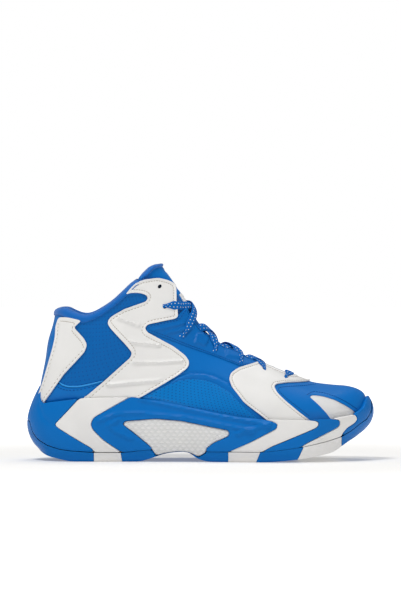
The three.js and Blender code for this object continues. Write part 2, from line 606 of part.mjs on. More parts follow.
/** Leather and textile panels outside the lining, cut in order from the top layer down. */
function buildPanels(laceCut) {
  const low = biteline.map(([x, z]) => [x, z - LASTING_MARGIN]);
  const zone = under(collar).subtract(under(low)).subtract(throat(0)).subtract(laceCut);
  const bound = collar.filter(([x]) => x < BINDING_FRONT * gradeX);
  const binding = strip(bound, COLLAR_BAND_HEIGHT + GAP);
  const thick = layer(PANEL_INSIDE, UPPER_OUTSIDE).intersect(zone).subtract(binding);
  const thin = layer(PANEL_INSIDE, PANEL_INSIDE + PANEL_THICKNESS).intersect(zone)
    .subtract(binding);
  for (const side of ['outer', 'inner']) {
    const shape = (outline) => cutBy(outline, side, 0);
    const away = (outline) => cutBy(outline, side, GAP);
    piece(`ankle_zigzag_${side}`, thick.intersect(shape(ZIGZAG)), whiteLeather());
    piece(`heel_overlay_${side}`, thick.intersect(shape(HEEL_OVERLAY)), whiteLeather());
    piece(`eyestay_${side}`, thick.intersect(shape(EYESTAY)).subtract(away(ZIGZAG))
      .subtract(away(SADDLE)), blueLeather());
    piece(`side_panel_${side}`, thin.intersect(shape(SIDE_PANEL)).subtract(away(ZIGZAG))
      .subtract(away(EYESTAY)).subtract(away(SADDLE)), blueMesh());
    piece(`ankle_quarter_${side}`, thin.intersect(shape(UPPER_QUARTER)).subtract(away(ZIGZAG))
      .subtract(away(HEEL_OVERLAY)), blueLeather());
    piece(`lower_quarter_${side}`, thin.intersect(shape(LOWER_QUARTER)).subtract(away(ZIGZAG))
      .subtract(away(HEEL_OVERLAY)).subtract(away(UPPER_QUARTER)), blueLeather());
    piece(`toe_window_${side}`, thin.intersect(shape(TOE_WINDOW)), whiteMesh());
  }
  piece('saddle', thick.intersect(cutBy(SADDLE, 'both', 0)), whiteLeather());
  const toe = prism(TOE_CAP_AREA.map(graded), ...SIDES.both);
  piece('toe_cap', thin.intersect(toe).subtract(cutBy(SADDLE, 'both', GAP))
    .subtract(cutBy(TOE_WINDOW, 'both', GAP)), blueLeather());
  const heel = prism(BACKSTAY_AREA.map(graded), ...SIDES.both);
  piece('backstay', thin.intersect(heel).subtract(cutBy(HEEL_OVERLAY, 'both', GAP))
    .subtract(cutBy(UPPER_QUARTER, 'both', GAP)), blueLeather());
  const board = layer(PANEL_INSIDE, UPPER_OUTSIDE).intersect(under(raised(low, -GAP)));
  piece('strobel_board', board, darkBoard());
}

/** Stiff pieces hidden in the lining, and the cut that they need. */
function stiffener(name, outline) {
  const skin = layer(-COUNTER_THICKNESS, 0);
  piece(name, skin.intersect(cutBy(outline, 'both', 0)), darkBoard());
  return layer(-COUNTER_THICKNESS - GAP, UPPER_OUTSIDE).intersect(cutBy(outline, 'both', GAP));
}

/** Lining, padding, binding and sockliner. */
function buildInside(laceCut) {
  const band = collar.filter(([x]) => x < BINDING_FRONT * gradeX);
  const bandCut = strip(band, COLLAR_BAND_HEIGHT + GAP);
  const padded = -LINING_THICKNESS - GAP;
  const foamInside = padded - COLLAR_FOAM;
  piece('collar_binding', layer(foamInside, UPPER_OUTSIDE)
    .intersect(strip(band, COLLAR_BAND_HEIGHT)), blueLining());
  const lining = layer(-LINING_THICKNESS, 0).intersect(under(collar)).subtract(throat(0))
    .subtract(bandCut).subtract(laceCut)
    .subtract(stiffener('heel_counter', HEEL_COUNTER))
    .subtract(stiffener('toe_puff', TOE_PUFF));
  const seam = VAMP_SEAM * gradeX;
  const ahead = [[seam + GAP, -WIDE], [SHOE_LENGTH + WIDE, -WIDE], [SHOE_LENGTH + WIDE, WIDE],
    [seam + GAP, WIDE]];
  const behind = [[-WIDE, -WIDE], [seam, -WIDE], [seam, SHOE_HEIGHT + WIDE],
    [-WIDE, SHOE_HEIGHT + WIDE]];
  piece('vamp_lining', lining.intersect(prism(ahead, ...SIDES.both)), blueLining());
  for (const side of ['outer', 'inner']) {
    piece(`quarter_lining_${side}`, lining.intersect(prism(behind, ...SIDES[side])), blueLining());
  }
  const foamTop = [...collar.filter(([x]) => x < PADDING_FRONT * gradeX),
    graded([PADDING_FRONT, PADDING_FRONT_HEIGHT])];
  piece('collar_padding', layer(foamInside, padded)
    .intersect(strip(foamTop, PADDING_DEPTH)).subtract(bandCut), blueLining());
  const bed = SECTIONS.slice(1, 14).map(([, , x, z]) => [x * gradeX,
    z * gradeZ + LINING_THICKNESS + GAP + SOCKLINER_THICKNESS]).reverse();
  piece('sockliner', form(padded).intersect(under(bed)), blueLining());
}

/** The padded tongue under the lace, with thinner wings beside its spine. */
function buildTongue(laceCut) {
  const face = -LINING_THICKNESS - GAP;
  const wing = face - LACE_DIAMETER - 2 * GAP;
  const whole = [[0, 0], [SHOE_LENGTH, 0], [SHOE_LENGTH, SHOE_HEIGHT + WIDE],
    [0, SHOE_HEIGHT + WIDE]];
  const wings = layer(wing, 0).subtract(prism(whole, -TONGUE_SPINE, TONGUE_SPINE));
  const body = form(face).subtract(form(face - TONGUE_THICKNESS));
  piece('tongue', body.intersect(cutBy(TONGUE_SIDE, 'both', 0)).subtract(wings)
    .subtract(laceCut), blueLining());
}

buildSole();
const laceCut = cord(LACE_DIAMETER / 2 + GAP);
buildPanels(laceCut);
buildInside(laceCut);
buildTongue(laceCut);
piece('lace', cord(LACE_DIAMETER / 2), lacing());

const box = new THREE.Box3().setFromObject(shoe);
const middle = box.getCenter(new THREE.Vector3());
shoe.position.set(-middle.x, -middle.y, -box.min.z);

export default shoe;
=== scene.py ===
"""Basketball high top, right foot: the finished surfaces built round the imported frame."""
import logging
import math
from dataclasses import dataclass, field
from enum import Enum
from typing import Callable, Iterable, Optional, Sequence

import bpy
import numpy as np
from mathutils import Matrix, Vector
from mathutils.geometry import delaunay_2d_cdt


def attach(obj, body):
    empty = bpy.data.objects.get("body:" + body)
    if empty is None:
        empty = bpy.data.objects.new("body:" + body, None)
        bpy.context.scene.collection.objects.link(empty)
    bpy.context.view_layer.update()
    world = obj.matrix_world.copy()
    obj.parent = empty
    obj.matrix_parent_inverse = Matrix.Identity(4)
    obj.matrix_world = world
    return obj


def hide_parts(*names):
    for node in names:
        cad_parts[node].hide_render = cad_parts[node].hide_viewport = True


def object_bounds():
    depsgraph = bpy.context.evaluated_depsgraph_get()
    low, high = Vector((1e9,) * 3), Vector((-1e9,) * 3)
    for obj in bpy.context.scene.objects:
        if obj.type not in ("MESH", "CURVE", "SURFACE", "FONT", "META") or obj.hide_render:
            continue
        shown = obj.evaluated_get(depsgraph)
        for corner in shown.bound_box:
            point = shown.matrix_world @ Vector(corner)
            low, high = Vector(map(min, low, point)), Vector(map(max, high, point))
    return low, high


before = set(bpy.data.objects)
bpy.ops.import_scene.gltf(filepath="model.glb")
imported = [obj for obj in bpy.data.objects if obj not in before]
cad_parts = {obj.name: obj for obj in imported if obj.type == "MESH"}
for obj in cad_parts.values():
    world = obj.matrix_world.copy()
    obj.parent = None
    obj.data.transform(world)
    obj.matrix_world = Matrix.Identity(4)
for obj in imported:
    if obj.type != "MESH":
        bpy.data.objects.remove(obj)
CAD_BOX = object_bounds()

log = logging.getLogger("high_top")
Outline = Sequence[tuple[float, float]]
MM = 0.001
MASTER_SIZE = (305.0, 111.0, 172.9)  # length, width and height that the patterns are drawn at
TRIANGLE_ROW = 0.866  # height of an even triangle as a share of its side
OUTLINE_STEP, EDGE_STEP = 0.8, 1.4  # spacing along an outline as drawn and as cut
BITE_LEAD, BITE_FADE = 0.6, 2.0  # where the leather tucks in above the biteline, and how fast
TUCK_DEPTH, TUCK_X = 2.0, (110, 150)  # how deep it tucks in, and where that fades out in front
TINT_SPREAD, ROUGH_SPREAD = 0.14, 0.16  # how much colour and roughness drift over a surface
STITCH_BREAK = 6.0  # a wider gap between points of a stitch line is left open
SHOE, TONGUE = "shoe", "tongue"


class Side(Enum):
    """Which half of the shoe a pattern is cut for."""

    OUTER = 1
    INNER = -1

    @property
    def word(self) -> str:
        """The word that ends the names of this side's pieces."""
        return "outer" if self is Side.OUTER else "inner"


# ------------------------------------------------------------------ curves and outlines
def catmull(points: np.ndarray, closed: bool, steps: int) -> np.ndarray:
    """Centripetal Catmull-Rom curve through points.

    Args:
        points: Rows of coordinates.
        closed: Whether the curve joins up.
        steps: Points made for each span.

    Returns:
        The curve's points; an open curve keeps its last point.
    """
    pts = np.asarray(points, float)
    count = len(pts)
    if closed:
        ext = np.vstack([pts[-1], pts, pts[:2]])
    else:
        ext = np.vstack([2 * pts[0] - pts[1], pts, 2 * pts[-1] - pts[-2]])
    spans = count if closed else count - 1
    out = []
    for i in range(spans):
        p0, p1, p2, p3 = ext[i:i + 4]
        t0 = 0.0
        t1 = t0 + max(np.linalg.norm(p1 - p0), 1e-6) ** 0.5
        t2 = t1 + max(np.linalg.norm(p2 - p1), 1e-6) ** 0.5
        t3 = t2 + max(np.linalg.norm(p3 - p2), 1e-6) ** 0.5
        t = np.linspace(t1, t2, steps, endpoint=False)[:, None]
        a1 = (t1 - t) / (t1 - t0) * p0 + (t - t0) / (t1 - t0) * p1
        a2 = (t2 - t) / (t2 - t1) * p1 + (t - t1) / (t2 - t1) * p2
        a3 = (t3 - t) / (t3 - t2) * p2 + (t - t2) / (t3 - t2) * p3
        b1 = (t2 - t) / (t2 - t0) * a1 + (t - t0) / (t2 - t0) * a2
        b2 = (t3 - t) / (t3 - t1) * a2 + (t - t1) / (t3 - t1) * a3
        out.append((t2 - t) / (t2 - t1) * b1 + (t - t1) / (t2 - t1) * b2)
    curve = np.vstack(out)
    return curve if closed else np.vstack([curve, pts[-1]])


def unit(rows: np.ndarray) -> np.ndarray:
    """The same directions at unit length."""
    return rows / np.maximum(np.linalg.norm(rows, axis=-1, keepdims=True), 1e-9)


def lengths(line: np.ndarray) -> np.ndarray:
    """Distance from the start at each point of a polyline."""
    return np.concatenate([[0], np.cumsum(np.linalg.norm(np.diff(line, axis=0), axis=1))])


def resample(line: np.ndarray, spacing: float, closed: bool) -> np.ndarray:
    """Evenly spaced points along a polyline.

    Args:
        line: Rows of coordinates.
        spacing: Distance wanted between points.
        closed: Whether the line joins up.

    Returns:
        The new points.
    """
    pts = np.vstack([line, line[:1]]) if closed else np.asarray(line)
    run = lengths(pts)
    count = max(3, int(round(run[-1] / spacing)))
    at = np.linspace(0, run[-1], count + (not closed), endpoint=not closed)
    return np.stack([np.interp(at, run, pts[:, c]) for c in range(pts.shape[1])], axis=1)


def rounded(outline: Outline, radius: float, closed: bool = True, steps: int = 6) -> np.ndarray:
    """An outline with each corner eased by a short curve.

    Args:
        outline: Corner points.
        radius: How far from a corner the curve starts, limited by the edges.
        closed: Whether the outline joins up.
        steps: Points made on each corner.

    Returns:
        The eased outline.
    """
    pts = np.asarray(outline, float)
    count = len(pts)
    out = []
    for i in range(count):
        if not closed and i in (0, count - 1):
            out.append(pts[i][None])
            continue
        here, before, after = pts[i], pts[i - 1], pts[(i + 1) % count]
        one, two = before - here, after - here
        cut = min(radius, 0.48 * np.linalg.norm(one), 0.48 * np.linalg.norm(two))
        start = here + one / max(np.linalg.norm(one), 1e-9) * cut
        end = here + two / max(np.linalg.norm(two), 1e-9) * cut
        t = np.linspace(0, 1, steps)[:, None]
        out.append((1 - t) ** 2 * start + 2 * t * (1 - t) * here + t ** 2 * end)
    return np.vstack(out)


def circle(count: int) -> np.ndarray:
    """Angles spread evenly over one turn."""
    return np.arange(count) / count * 2 * math.pi


def inside(points: np.ndarray, outline: np.ndarray) -> np.ndarray:
    """Which points lie within a closed outline, by counting crossings.

    Args:
        points: Rows of x and y.
        outline: The closed outline.

    Returns:
        One true or false per point.
    """
    x, y = points[:, 0][:, None], points[:, 1][:, None]
    x1, y1 = outline[:, 0][None], outline[:, 1][None]
    x2, y2 = np.roll(x1, -1), np.roll(y1, -1)
    rise = np.where(np.abs(y2 - y1) < 1e-12, 1e-12, y2 - y1)
    crosses = ((y1 > y) != (y2 > y)) & (x < (x2 - x1) * (y - y1) / rise + x1)
    return crosses.sum(axis=1) % 2 == 1


def edge_distance(points: np.ndarray, outline: np.ndarray, closed: bool = True) -> np.ndarray:
    """Distance from each point to a polyline.

    Args:
        points: Rows of x and y.
        outline: The polyline.
        closed: Whether it joins up.

    Returns:
        One distance per point.
    """
    ends = np.roll(outline, -1, axis=0) if closed else outline[1:]
    starts = outline if closed else outline[:-1]
    best = np.full(len(points), 1e9)
    for a, b in zip(starts, ends):
        d = b - a
        t = np.clip(((points - a) @ d) / max(d @ d, 1e-12), 0, 1)
        best = np.minimum(best, np.linalg.norm(points - a - t[:, None] * d, axis=1))
    return best


def fill_outline(outline: np.ndarray, spacing: float, holes: Sequence[np.ndarray] = (),
                 rows: Sequence[np.ndarray] = ()) -> tuple[np.ndarray, list[tuple[int, ...]]]:
    """Triangles that fill a flat outline evenly, with round holes left open.

    Args:
        outline: The closed outline.
        spacing: Distance between the inner points.
        holes: Closed outlines inside it to leave open.
        rows: Further points that the triangles should meet.

    Returns:
        Flat points and triangles.
    """
    low, high = outline.min(axis=0), outline.max(axis=0)
    lines = []
    for i, row in enumerate(np.arange(low[1], high[1], spacing * TRIANGLE_ROW)):
        across = np.arange(low[0] + (i % 2) * spacing / 2, high[0], spacing)
        lines.append(np.column_stack([across, np.full(len(across), row)]))
    grid = np.vstack(lines)
    grid = grid[inside(grid, outline)]
    loops = [outline, *holes]
    for loop in loops:
        if len(grid):
            grid = grid[edge_distance(grid, loop) > spacing * 0.45]
    if rows:
        deepest = max(float(edge_distance(row, outline).max()) for row in rows if len(row))
        grid = grid[edge_distance(grid, outline) > deepest + spacing * 0.4]
    points = np.vstack([*loops, *rows, grid])
    edges, start = [], 0
    for loop in loops:
        edges += [(start + i, start + (i + 1) % len(loop)) for i in range(len(loop))]
        start += len(loop)
    made = delaunay_2d_cdt([Vector(p) for p in points], edges, [], 1, 1e-7)
    flat = np.array([tuple(p) for p in made[0]])
    faces = [tuple(f) for f in made[2]]
    centres = np.array([flat[list(f)].mean(axis=0) for f in faces])
    good = inside(centres, outline)
    for hole in holes:
        good &= ~inside(centres, hole)
    return flat, [f for f, ok in zip(faces, good) if ok]


# ------------------------------------------------------------------ the two guiding surfaces
SECTIONS = (  # toe to ankle: front or top x z, sole or heel x z, half widths, widest-point skew
    (297.5, 45.6, 297.5, 44.4, 0.6, 0.6, 0),
    (295.6, 56, 296, 34, 8.5, 10.5, 0.03),
    (290.5, 60.6, 290, 26, 18, 21.5, 0.05),
    (281, 63.4, 281, 21.5, 27.5, 31, 0.07),
    (267, 64.6, 267, 18, 37, 39, 0.09),
    (250, 67, 249, 16, 44, 43.5, 0.12),
    (233, 73, 227, 15, 46.5, 44.5, 0.14),
    (217, 80.5, 202, 15, 46, 42.5, 0.16),
    (202.5, 87.5, 176, 16, 43, 39, 0.18),
    (188, 95.5, 146, 18, 39.5, 36, 0.2),
    (173, 103.8, 112, 20, 37.5, 34.5, 0.2),
    (160.5, 113, 78, 22, 37, 35, 0.16),
    (151.5, 124, 44, 24, 36.5, 35.5, 0.1),
    (145, 135, 21, 30, 36.5, 35.5, 0.04),
    (139.8, 144, 11.5, 46, 36.5, 35.5, 0),
    (134, 153, 13.5, 66, 36.5, 35.5, 0),
    (127.8, 162, 17.5, 86, 36, 35.5, 0),
    (122, 170, 20.2, 104, 37, 36, 0),
    (117, 178, 25, 121, 38, 37, 0),
    (112, 187, 28, 140, 39, 38, 0),
    (107, 197, 30, 165, 39, 38, 0),
)
SOLE_PLAN = (
    (0, 0), (3.5, -17), (12, -29), (30, -38), (62, -42), (104, -41.5), (142, -44.5),
    (176, -51.5), (206, -56), (232, -56.5), (256, -51.5), (277, -40), (293, -24), (302, -9),
    (305, 4), (303, 17), (295, 30), (280, 42), (260, 50), (235, 54), (205, 53), (175, 46.5),
    (142, 40), (104, 38.5), (62, 41), (30, 37.5), (12, 29), (3.5, 17),
)
SOLE_WALL = (  # height, then the stand-in from the plan at the sides, the heel and the toe
    (0, 8, 13, 18), (4, 4.6, 13, 18), (9, 2.4, 11, 18), (14, 1.3, 6.4, 18), (19.5, 0.7, 3, 17),
    (25, 0.2, 0.9, 9.6), (33, 0, 0, 2.6), (41, 0.4, 1.1, 0.1), (49, 1, 3.6, 0.9),
    (57.5, 1.8, 7.2, 5.4), (66, 3, 11.6, 12),
)


@dataclass
class LastedForm:
    """The shape that the upper is pulled over, as sections from the toe to the ankle."""

    sections: np.ndarray = field(default_factory=lambda: np.array(SECTIONS, float))
    top_roundness: float = 2.0
    sole_roundness: float = 3.0
    typical_depth: float = 58.0  # half the way from the instep to the heel
    typical_width: float = 37.0

    def __post_init__(self) -> None:
        """Measures the length along the side, for evenly spread points."""
        u = np.linspace(0, len(self.sections) - 1, 400)
        side = self.point(u, np.full(400, math.pi / 2))
        run = lengths(side)
        self.run_u, self.run = u, run
        turn = np.linspace(0, math.pi, 1200)
        along = -np.cos(turn)
        power = np.where(along < 0, self.top_roundness, self.sole_roundness)
        reach = np.maximum(0, 1 - np.abs(along) ** power) ** (1 / power)
        line = np.column_stack([along * self.typical_depth, reach * self.typical_width])
        arc = lengths(line)
        self.half_turn = float(arc[-1])
        self.turn = np.concatenate([-turn[:0:-1], turn, 2 * math.pi - turn[-2::-1]])
        self.arc = np.concatenate([-arc[:0:-1], arc, 2 * self.half_turn - arc[-2::-1]])

    def rows(self, u: np.ndarray) -> np.ndarray:
        """Section values at positions between the given sections.

        Args:
            u: Positions, counted in sections from the toe.

        Returns:
            One row of section values per position.
        """
        s, last = self.sections, len(self.sections) - 1
        u = np.clip(u, 0, last)
        i = np.minimum(u.astype(int), last - 1)
        f = (u - i)[..., None]
        a, b, d, e = s[np.maximum(i - 1, 0)], s[i], s[i + 1], s[np.minimum(i + 2, last)]
        m, n = (d - a) / 2, (e - b) / 2
        return (((2 * b - 2 * d + m + n) * f + (3 * d - 3 * b - 2 * m - n)) * f + m) * f + b

    def point(self, u: np.ndarray, angle: np.ndarray) -> np.ndarray:
        """Points of the form.

        Args:
            u: Positions, counted in sections from the toe.
            angle: 0 over the instep, pi under the sole, negative on the inner side.

        Returns:
            Rows of x, y and z.
        """
        ix, iz, ex, ez, outer, inner, skew = np.moveaxis(self.rows(u), -1, 0)
        along = -np.cos(angle)
        power = np.where(along < 0, self.top_roundness, self.sole_roundness)
        reach = np.maximum(0, 1 - np.abs(along) ** power) ** (1 / power)
        side = np.where(np.sin(angle) >= 0, -outer, inner)
        share = (1 + along) / 2
        return np.stack([ix + (ex - ix) * share, side * reach * (1 + skew * along),
                         iz + (ez - iz) * share], axis=-1)

    def normal(self, u: np.ndarray, angle: np.ndarray) -> np.ndarray:
        """Outward unit normals of the form.

        Args:
            u: Positions, counted in sections from the toe.
            angle: Angles round the sections.

        Returns:
            Rows of x, y and z.
        """
        step = 0.02
        top = len(self.sections) - 1
        along = (self.point(np.minimum(u + step, top), angle)
                 - self.point(np.maximum(u - step, 0), angle))
        turn = self.point(u, angle + step) - self.point(u, angle - step)
        return unit(np.cross(along, turn))

    def skin(self, u: np.ndarray, angle: np.ndarray, rise: np.ndarray | float) -> np.ndarray:
        """Points a distance outside the form."""
        lift = np.broadcast_to(np.asarray(rise, float), np.shape(u))[..., None]
        return self.point(u, angle) + self.normal(u, angle) * lift

    def locate(self, xz: np.ndarray) -> tuple[np.ndarray, np.ndarray]:
        """Section position and angle of side-view points, on the outer half.

        Args:
            xz: Rows of x and z.

        Returns:
            The positions along the sections and the angles.
        """
        x, z = xz[:, 0], xz[:, 1]
        low, high = np.zeros(len(xz)), np.full(len(xz), len(self.sections) - 1.0)
        for _ in range(40):
            mid = (low + high) / 2
            ix, iz, ex, ez = np.moveaxis(self.rows(mid), -1, 0)[:4]
            ahead = (ex - ix) * (z - iz) - (ez - iz) * (x - ix) < 0
            low, high = np.where(ahead, mid, low), np.where(ahead, high, mid)
        ix, iz, ex, ez = np.moveaxis(self.rows(low), -1, 0)[:4]
        share = ((x - ix) * (ex - ix) + (z - iz) * (ez - iz)) / ((ex - ix) ** 2 + (ez - iz) ** 2)
        return low, np.arccos(np.clip(1 - 2 * share, -1, 1))

    def flat(self, u: np.ndarray, angle: np.ndarray) -> np.ndarray:
        """Section positions and angles as distances along and round the shoe."""
        return np.column_stack([np.interp(u, self.run_u, self.run),
                                np.interp(angle, self.turn, self.arc)])

    def spread(self, xz: Outline) -> np.ndarray:
        """Flat coordinates of side-view points on the outer half."""
        return self.flat(*self.locate(np.asarray(xz, float)))

    def shell(self, flat: np.ndarray, rise: np.ndarray | float) -> np.ndarray:
        """Points a distance outside the form, at flat coordinates."""
        return self.skin(*self.unflat(flat), rise)

    def facing(self, flat: np.ndarray) -> np.ndarray:
        """Outward directions of the form at flat coordinates."""
        return self.normal(*self.unflat(flat))

    def unflat(self, flat: np.ndarray) -> tuple[np.ndarray, np.ndarray]:
        """The reverse of flat."""
        return (np.interp(flat[:, 0], self.run, self.run_u),
                np.interp(flat[:, 1], self.arc, self.turn))


@dataclass
class SoleWall:
    """The side of the sole: a plan outline swept up a wall profile."""

    steps: int = 24

    def __post_init__(self) -> None:
        """Makes the plan curve; the share runs outer side, toe, inner side, heel."""
        self.plan = catmull(np.array(SOLE_PLAN, float), True, self.steps)
        self.share = np.arange(len(self.plan) + 1) / len(self.plan)
        looped = np.vstack([self.plan, self.plan[:1]])
        slope = np.roll(self.plan, -1, axis=0) - np.roll(self.plan, 1, axis=0)
        slope = unit(slope)
        out = np.column_stack([-slope[:, 1], slope[:, 0]]) * -1
        self.looped, self.out = looped, np.vstack([out, out[:1]])
        self.profile = catmull(np.array(SOLE_WALL, float), False, 8)
        self.length = float(np.linalg.norm(np.diff(looped, axis=0), axis=1).sum())

    def point(self, share: np.ndarray, z: np.ndarray, rise: np.ndarray | float = 0.0) -> np.ndarray:
        """Points on the wall.

        Args:
            share: Position round the plan, 0 and 1 at the heel and 0.5 at the toe.
            z: Heights.
            rise: Distance outside the wall.

        Returns:
            Rows of x, y and z.
        """
        s = np.mod(share, 1.0)
        base = np.stack([np.interp(s, self.share, self.looped[:, c]) for c in (0, 1)], axis=-1)
        out = np.stack([np.interp(s, self.share, self.out[:, c]) for c in (0, 1)], axis=-1)
        out = unit(out)
        side, heel, toe = (np.interp(z, self.profile[:, 0], self.profile[:, c]) for c in (1, 2, 3))
        end = out[..., 0] ** 2
        stand = side * (1 - end) + np.where(out[..., 0] < 0, heel, toe) * end
        xy = base - out * (stand - rise)[..., None]
        return np.concatenate([xy, np.broadcast_to(z, stand.shape)[..., None]], axis=-1)

    def locate(self, xz: np.ndarray, side: Side) -> np.ndarray:
        """Position round the plan of side-view points on one side.

        Args:
            xz: Rows of x and z.
            side: The half to look on.

        Returns:
            The shares, from 0 at the heel; negative on the inner side.
        """
        low, high = np.zeros(len(xz)), np.full(len(xz), 0.5)
        for _ in range(32):
            mid = (low + high) / 2
            short = self.point(mid * side.value, xz[:, 1])[:, 0] < xz[:, 0]
            low, high = np.where(short, mid, low), np.where(short, high, mid)
        return low * side.value


FORM = LastedForm()
WALL = SoleWall()
_low, _high = np.array(CAD_BOX[0]), np.array(CAD_BOX[1])
GRADE = (_high - _low) / (np.array(MASTER_SIZE) * MM)
SHIFT = np.array([-MASTER_SIZE[0] / 2, -(WALL.plan[:, 1].max() + WALL.plan[:, 1].min()) / 2, 0])


def placed(points: np.ndarray) -> np.ndarray:
    """Pattern millimetres turned into metres in the shared frame."""
    return (np.asarray(points) + SHIFT) * MM * GRADE


# ------------------------------------------------------------------ finishes
class Shader:
    """A short way to write node trees."""

    def __init__(self, tree: bpy.types.NodeTree) -> None:
        """Starts on an empty tree."""
        self.tree = tree
        tree.nodes.clear()

    def node(self, kind: str, inputs: Optional[dict] = None, **settings: object) -> bpy.types.Node:
        """Adds a node.

        Args:
            kind: The node's type.
            inputs: Socket names or numbers, each with a value or another node's socket.
            **settings: Properties of the node.

        Returns:
            The new node.
        """
        made = self.tree.nodes.new(kind)
        for key, value in settings.items():
            setattr(made, key, value)
        for key, value in (inputs or {}).items():
            if isinstance(value, bpy.types.NodeSocket):
                self.tree.links.new(value, made.inputs[key])
            else:
                made.inputs[key].default_value = value
        return made

    def maths(self, operation: str, *values: object) -> bpy.types.NodeSocket:
        """A maths node's result."""
        return self.node("ShaderNodeMath", dict(enumerate(values)), operation=operation).outputs[0]


def effect_group(name: str, inputs: dict[str, float], outputs: dict[str, str]
                 ) -> tuple[bpy.types.NodeTree, Shader, bpy.types.Node]:
    """An empty node group with its sockets.

    Args:
        name: Name of the group.
        inputs: Number inputs and their defaults; Vector is added first.
        outputs: Output names and kinds.

    Returns:
        The group, its writer and its input node.
    """
    group = bpy.data.node_groups.new(name, "ShaderNodeTree")
    writer = Shader(group)
    group.interface.new_socket("Vector", in_out="INPUT", socket_type="NodeSocketVector")
    for key, value in inputs.items():
        made = group.interface.new_socket(key, in_out="INPUT", socket_type="NodeSocketFloat")
        made.default_value = value
    for key, kind in outputs.items():
        group.interface.new_socket(key, in_out="OUTPUT", socket_type=kind)
    return group, writer, writer.node("NodeGroupInput")


def grain_effect() -> bpy.types.NodeTree:
    """Leather grain: small cells with soft valleys, and a slow cloudy mask."""
    group, w, given = effect_group("Grain", {"Scale": 900.0}, {
        "Height": "NodeSocketFloat", "Cloud": "NodeSocketFloat"})
    cells = w.node("ShaderNodeTexVoronoi", {"Vector": given.outputs["Vector"],
                                            "Scale": given.outputs["Scale"]}, feature="SMOOTH_F1")
    fine = w.node("ShaderNodeTexNoise", {"Vector": given.outputs["Vector"], "Scale": 2600.0,
                                         "Detail": 2.0})
    cloud = w.node("ShaderNodeTexNoise", {"Vector": given.outputs["Vector"], "Scale": 34.0,
                                          "Detail": 3.0})
    height = w.maths("MULTIPLY_ADD", fine.outputs[0], 0.25, cells.outputs["Distance"])
    w.node("NodeGroupOutput", {"Height": height, "Cloud": cloud.outputs[0]})
    return group


def lattice_effect() -> bpy.types.NodeTree:
    """Staggered round dots at an even pitch, 1 in a dot and 0 between."""
    group, w, given = effect_group("Lattice", {"Pitch": 0.0033, "Radius": 0.16, "Diamond": 0.0}, {
        "Mask": "NodeSocketFloat"})
    split = w.node("ShaderNodeSeparateXYZ", {0: given.outputs["Vector"]})
    row_at = w.maths("DIVIDE", split.outputs[1], w.maths("MULTIPLY", given.outputs["Pitch"], 0.866))
    row = w.maths("FLOOR", row_at)
    shift = w.maths("MULTIPLY", w.maths("PINGPONG", row, 1.0), 0.5)
    column = w.maths("ADD", w.maths("DIVIDE", split.outputs[0], given.outputs["Pitch"]), shift)
    dx = w.maths("SUBTRACT", w.maths("FRACT", column), 0.5)
    dy = w.maths("SUBTRACT", w.maths("FRACT", row_at), 0.5)
    round_way = w.maths("SQRT", w.maths("ADD", w.maths("MULTIPLY", dx, dx),
                                        w.maths("MULTIPLY", dy, dy)))
    straight = w.maths("ADD", w.maths("ABSOLUTE", dx), w.maths("ABSOLUTE", dy))
    away = w.node("ShaderNodeMix", {0: given.outputs["Diamond"], 2: round_way,
                                    3: straight}).outputs[0]
    edge = w.maths("DIVIDE", w.maths("SUBTRACT", given.outputs["Radius"], away), 0.06)
    mask = w.node("ShaderNodeClamp", {0: edge}).outputs[0]
    w.node("NodeGroupOutput", {"Mask": mask})
    return group


def weave_effect() -> bpy.types.NodeTree:
    """Plain weave: threads crossing over and under at an even pitch."""
    group, w, given = effect_group("Weave", {"Pitch": 0.0009}, {"Height": "NodeSocketFloat"})
    split = w.node("ShaderNodeSeparateXYZ", {0: given.outputs["Vector"]})
    full = w.maths("DIVIDE", 2 * math.pi, given.outputs["Pitch"])
    one = w.maths("SINE", w.maths("MULTIPLY", split.outputs[0], full))
    two = w.maths("SINE", w.maths("MULTIPLY", split.outputs[1], full))
    height = w.maths("MULTIPLY_ADD", w.maths("MULTIPLY", one, two), 0.5, 0.5)
    w.node("NodeGroupOutput", {"Height": height})
    return group


class Pattern(Enum):
    """What the surface of a finish is covered with."""

    GRAIN = "grain"
    WEAVE = "weave"
    PERFORATED = "perforated"
    KNURL = "knurl"
    FLECKED = "flecked"
    SMOOTH = "smooth"


DOTS = {  # pitch in metres, and size of a dot as a share of the pitch
    Pattern.PERFORATED: (0.0033, 0.17), Pattern.KNURL: (0.0036, 0.46),
    Pattern.FLECKED: (0.0038, 0.19),
}


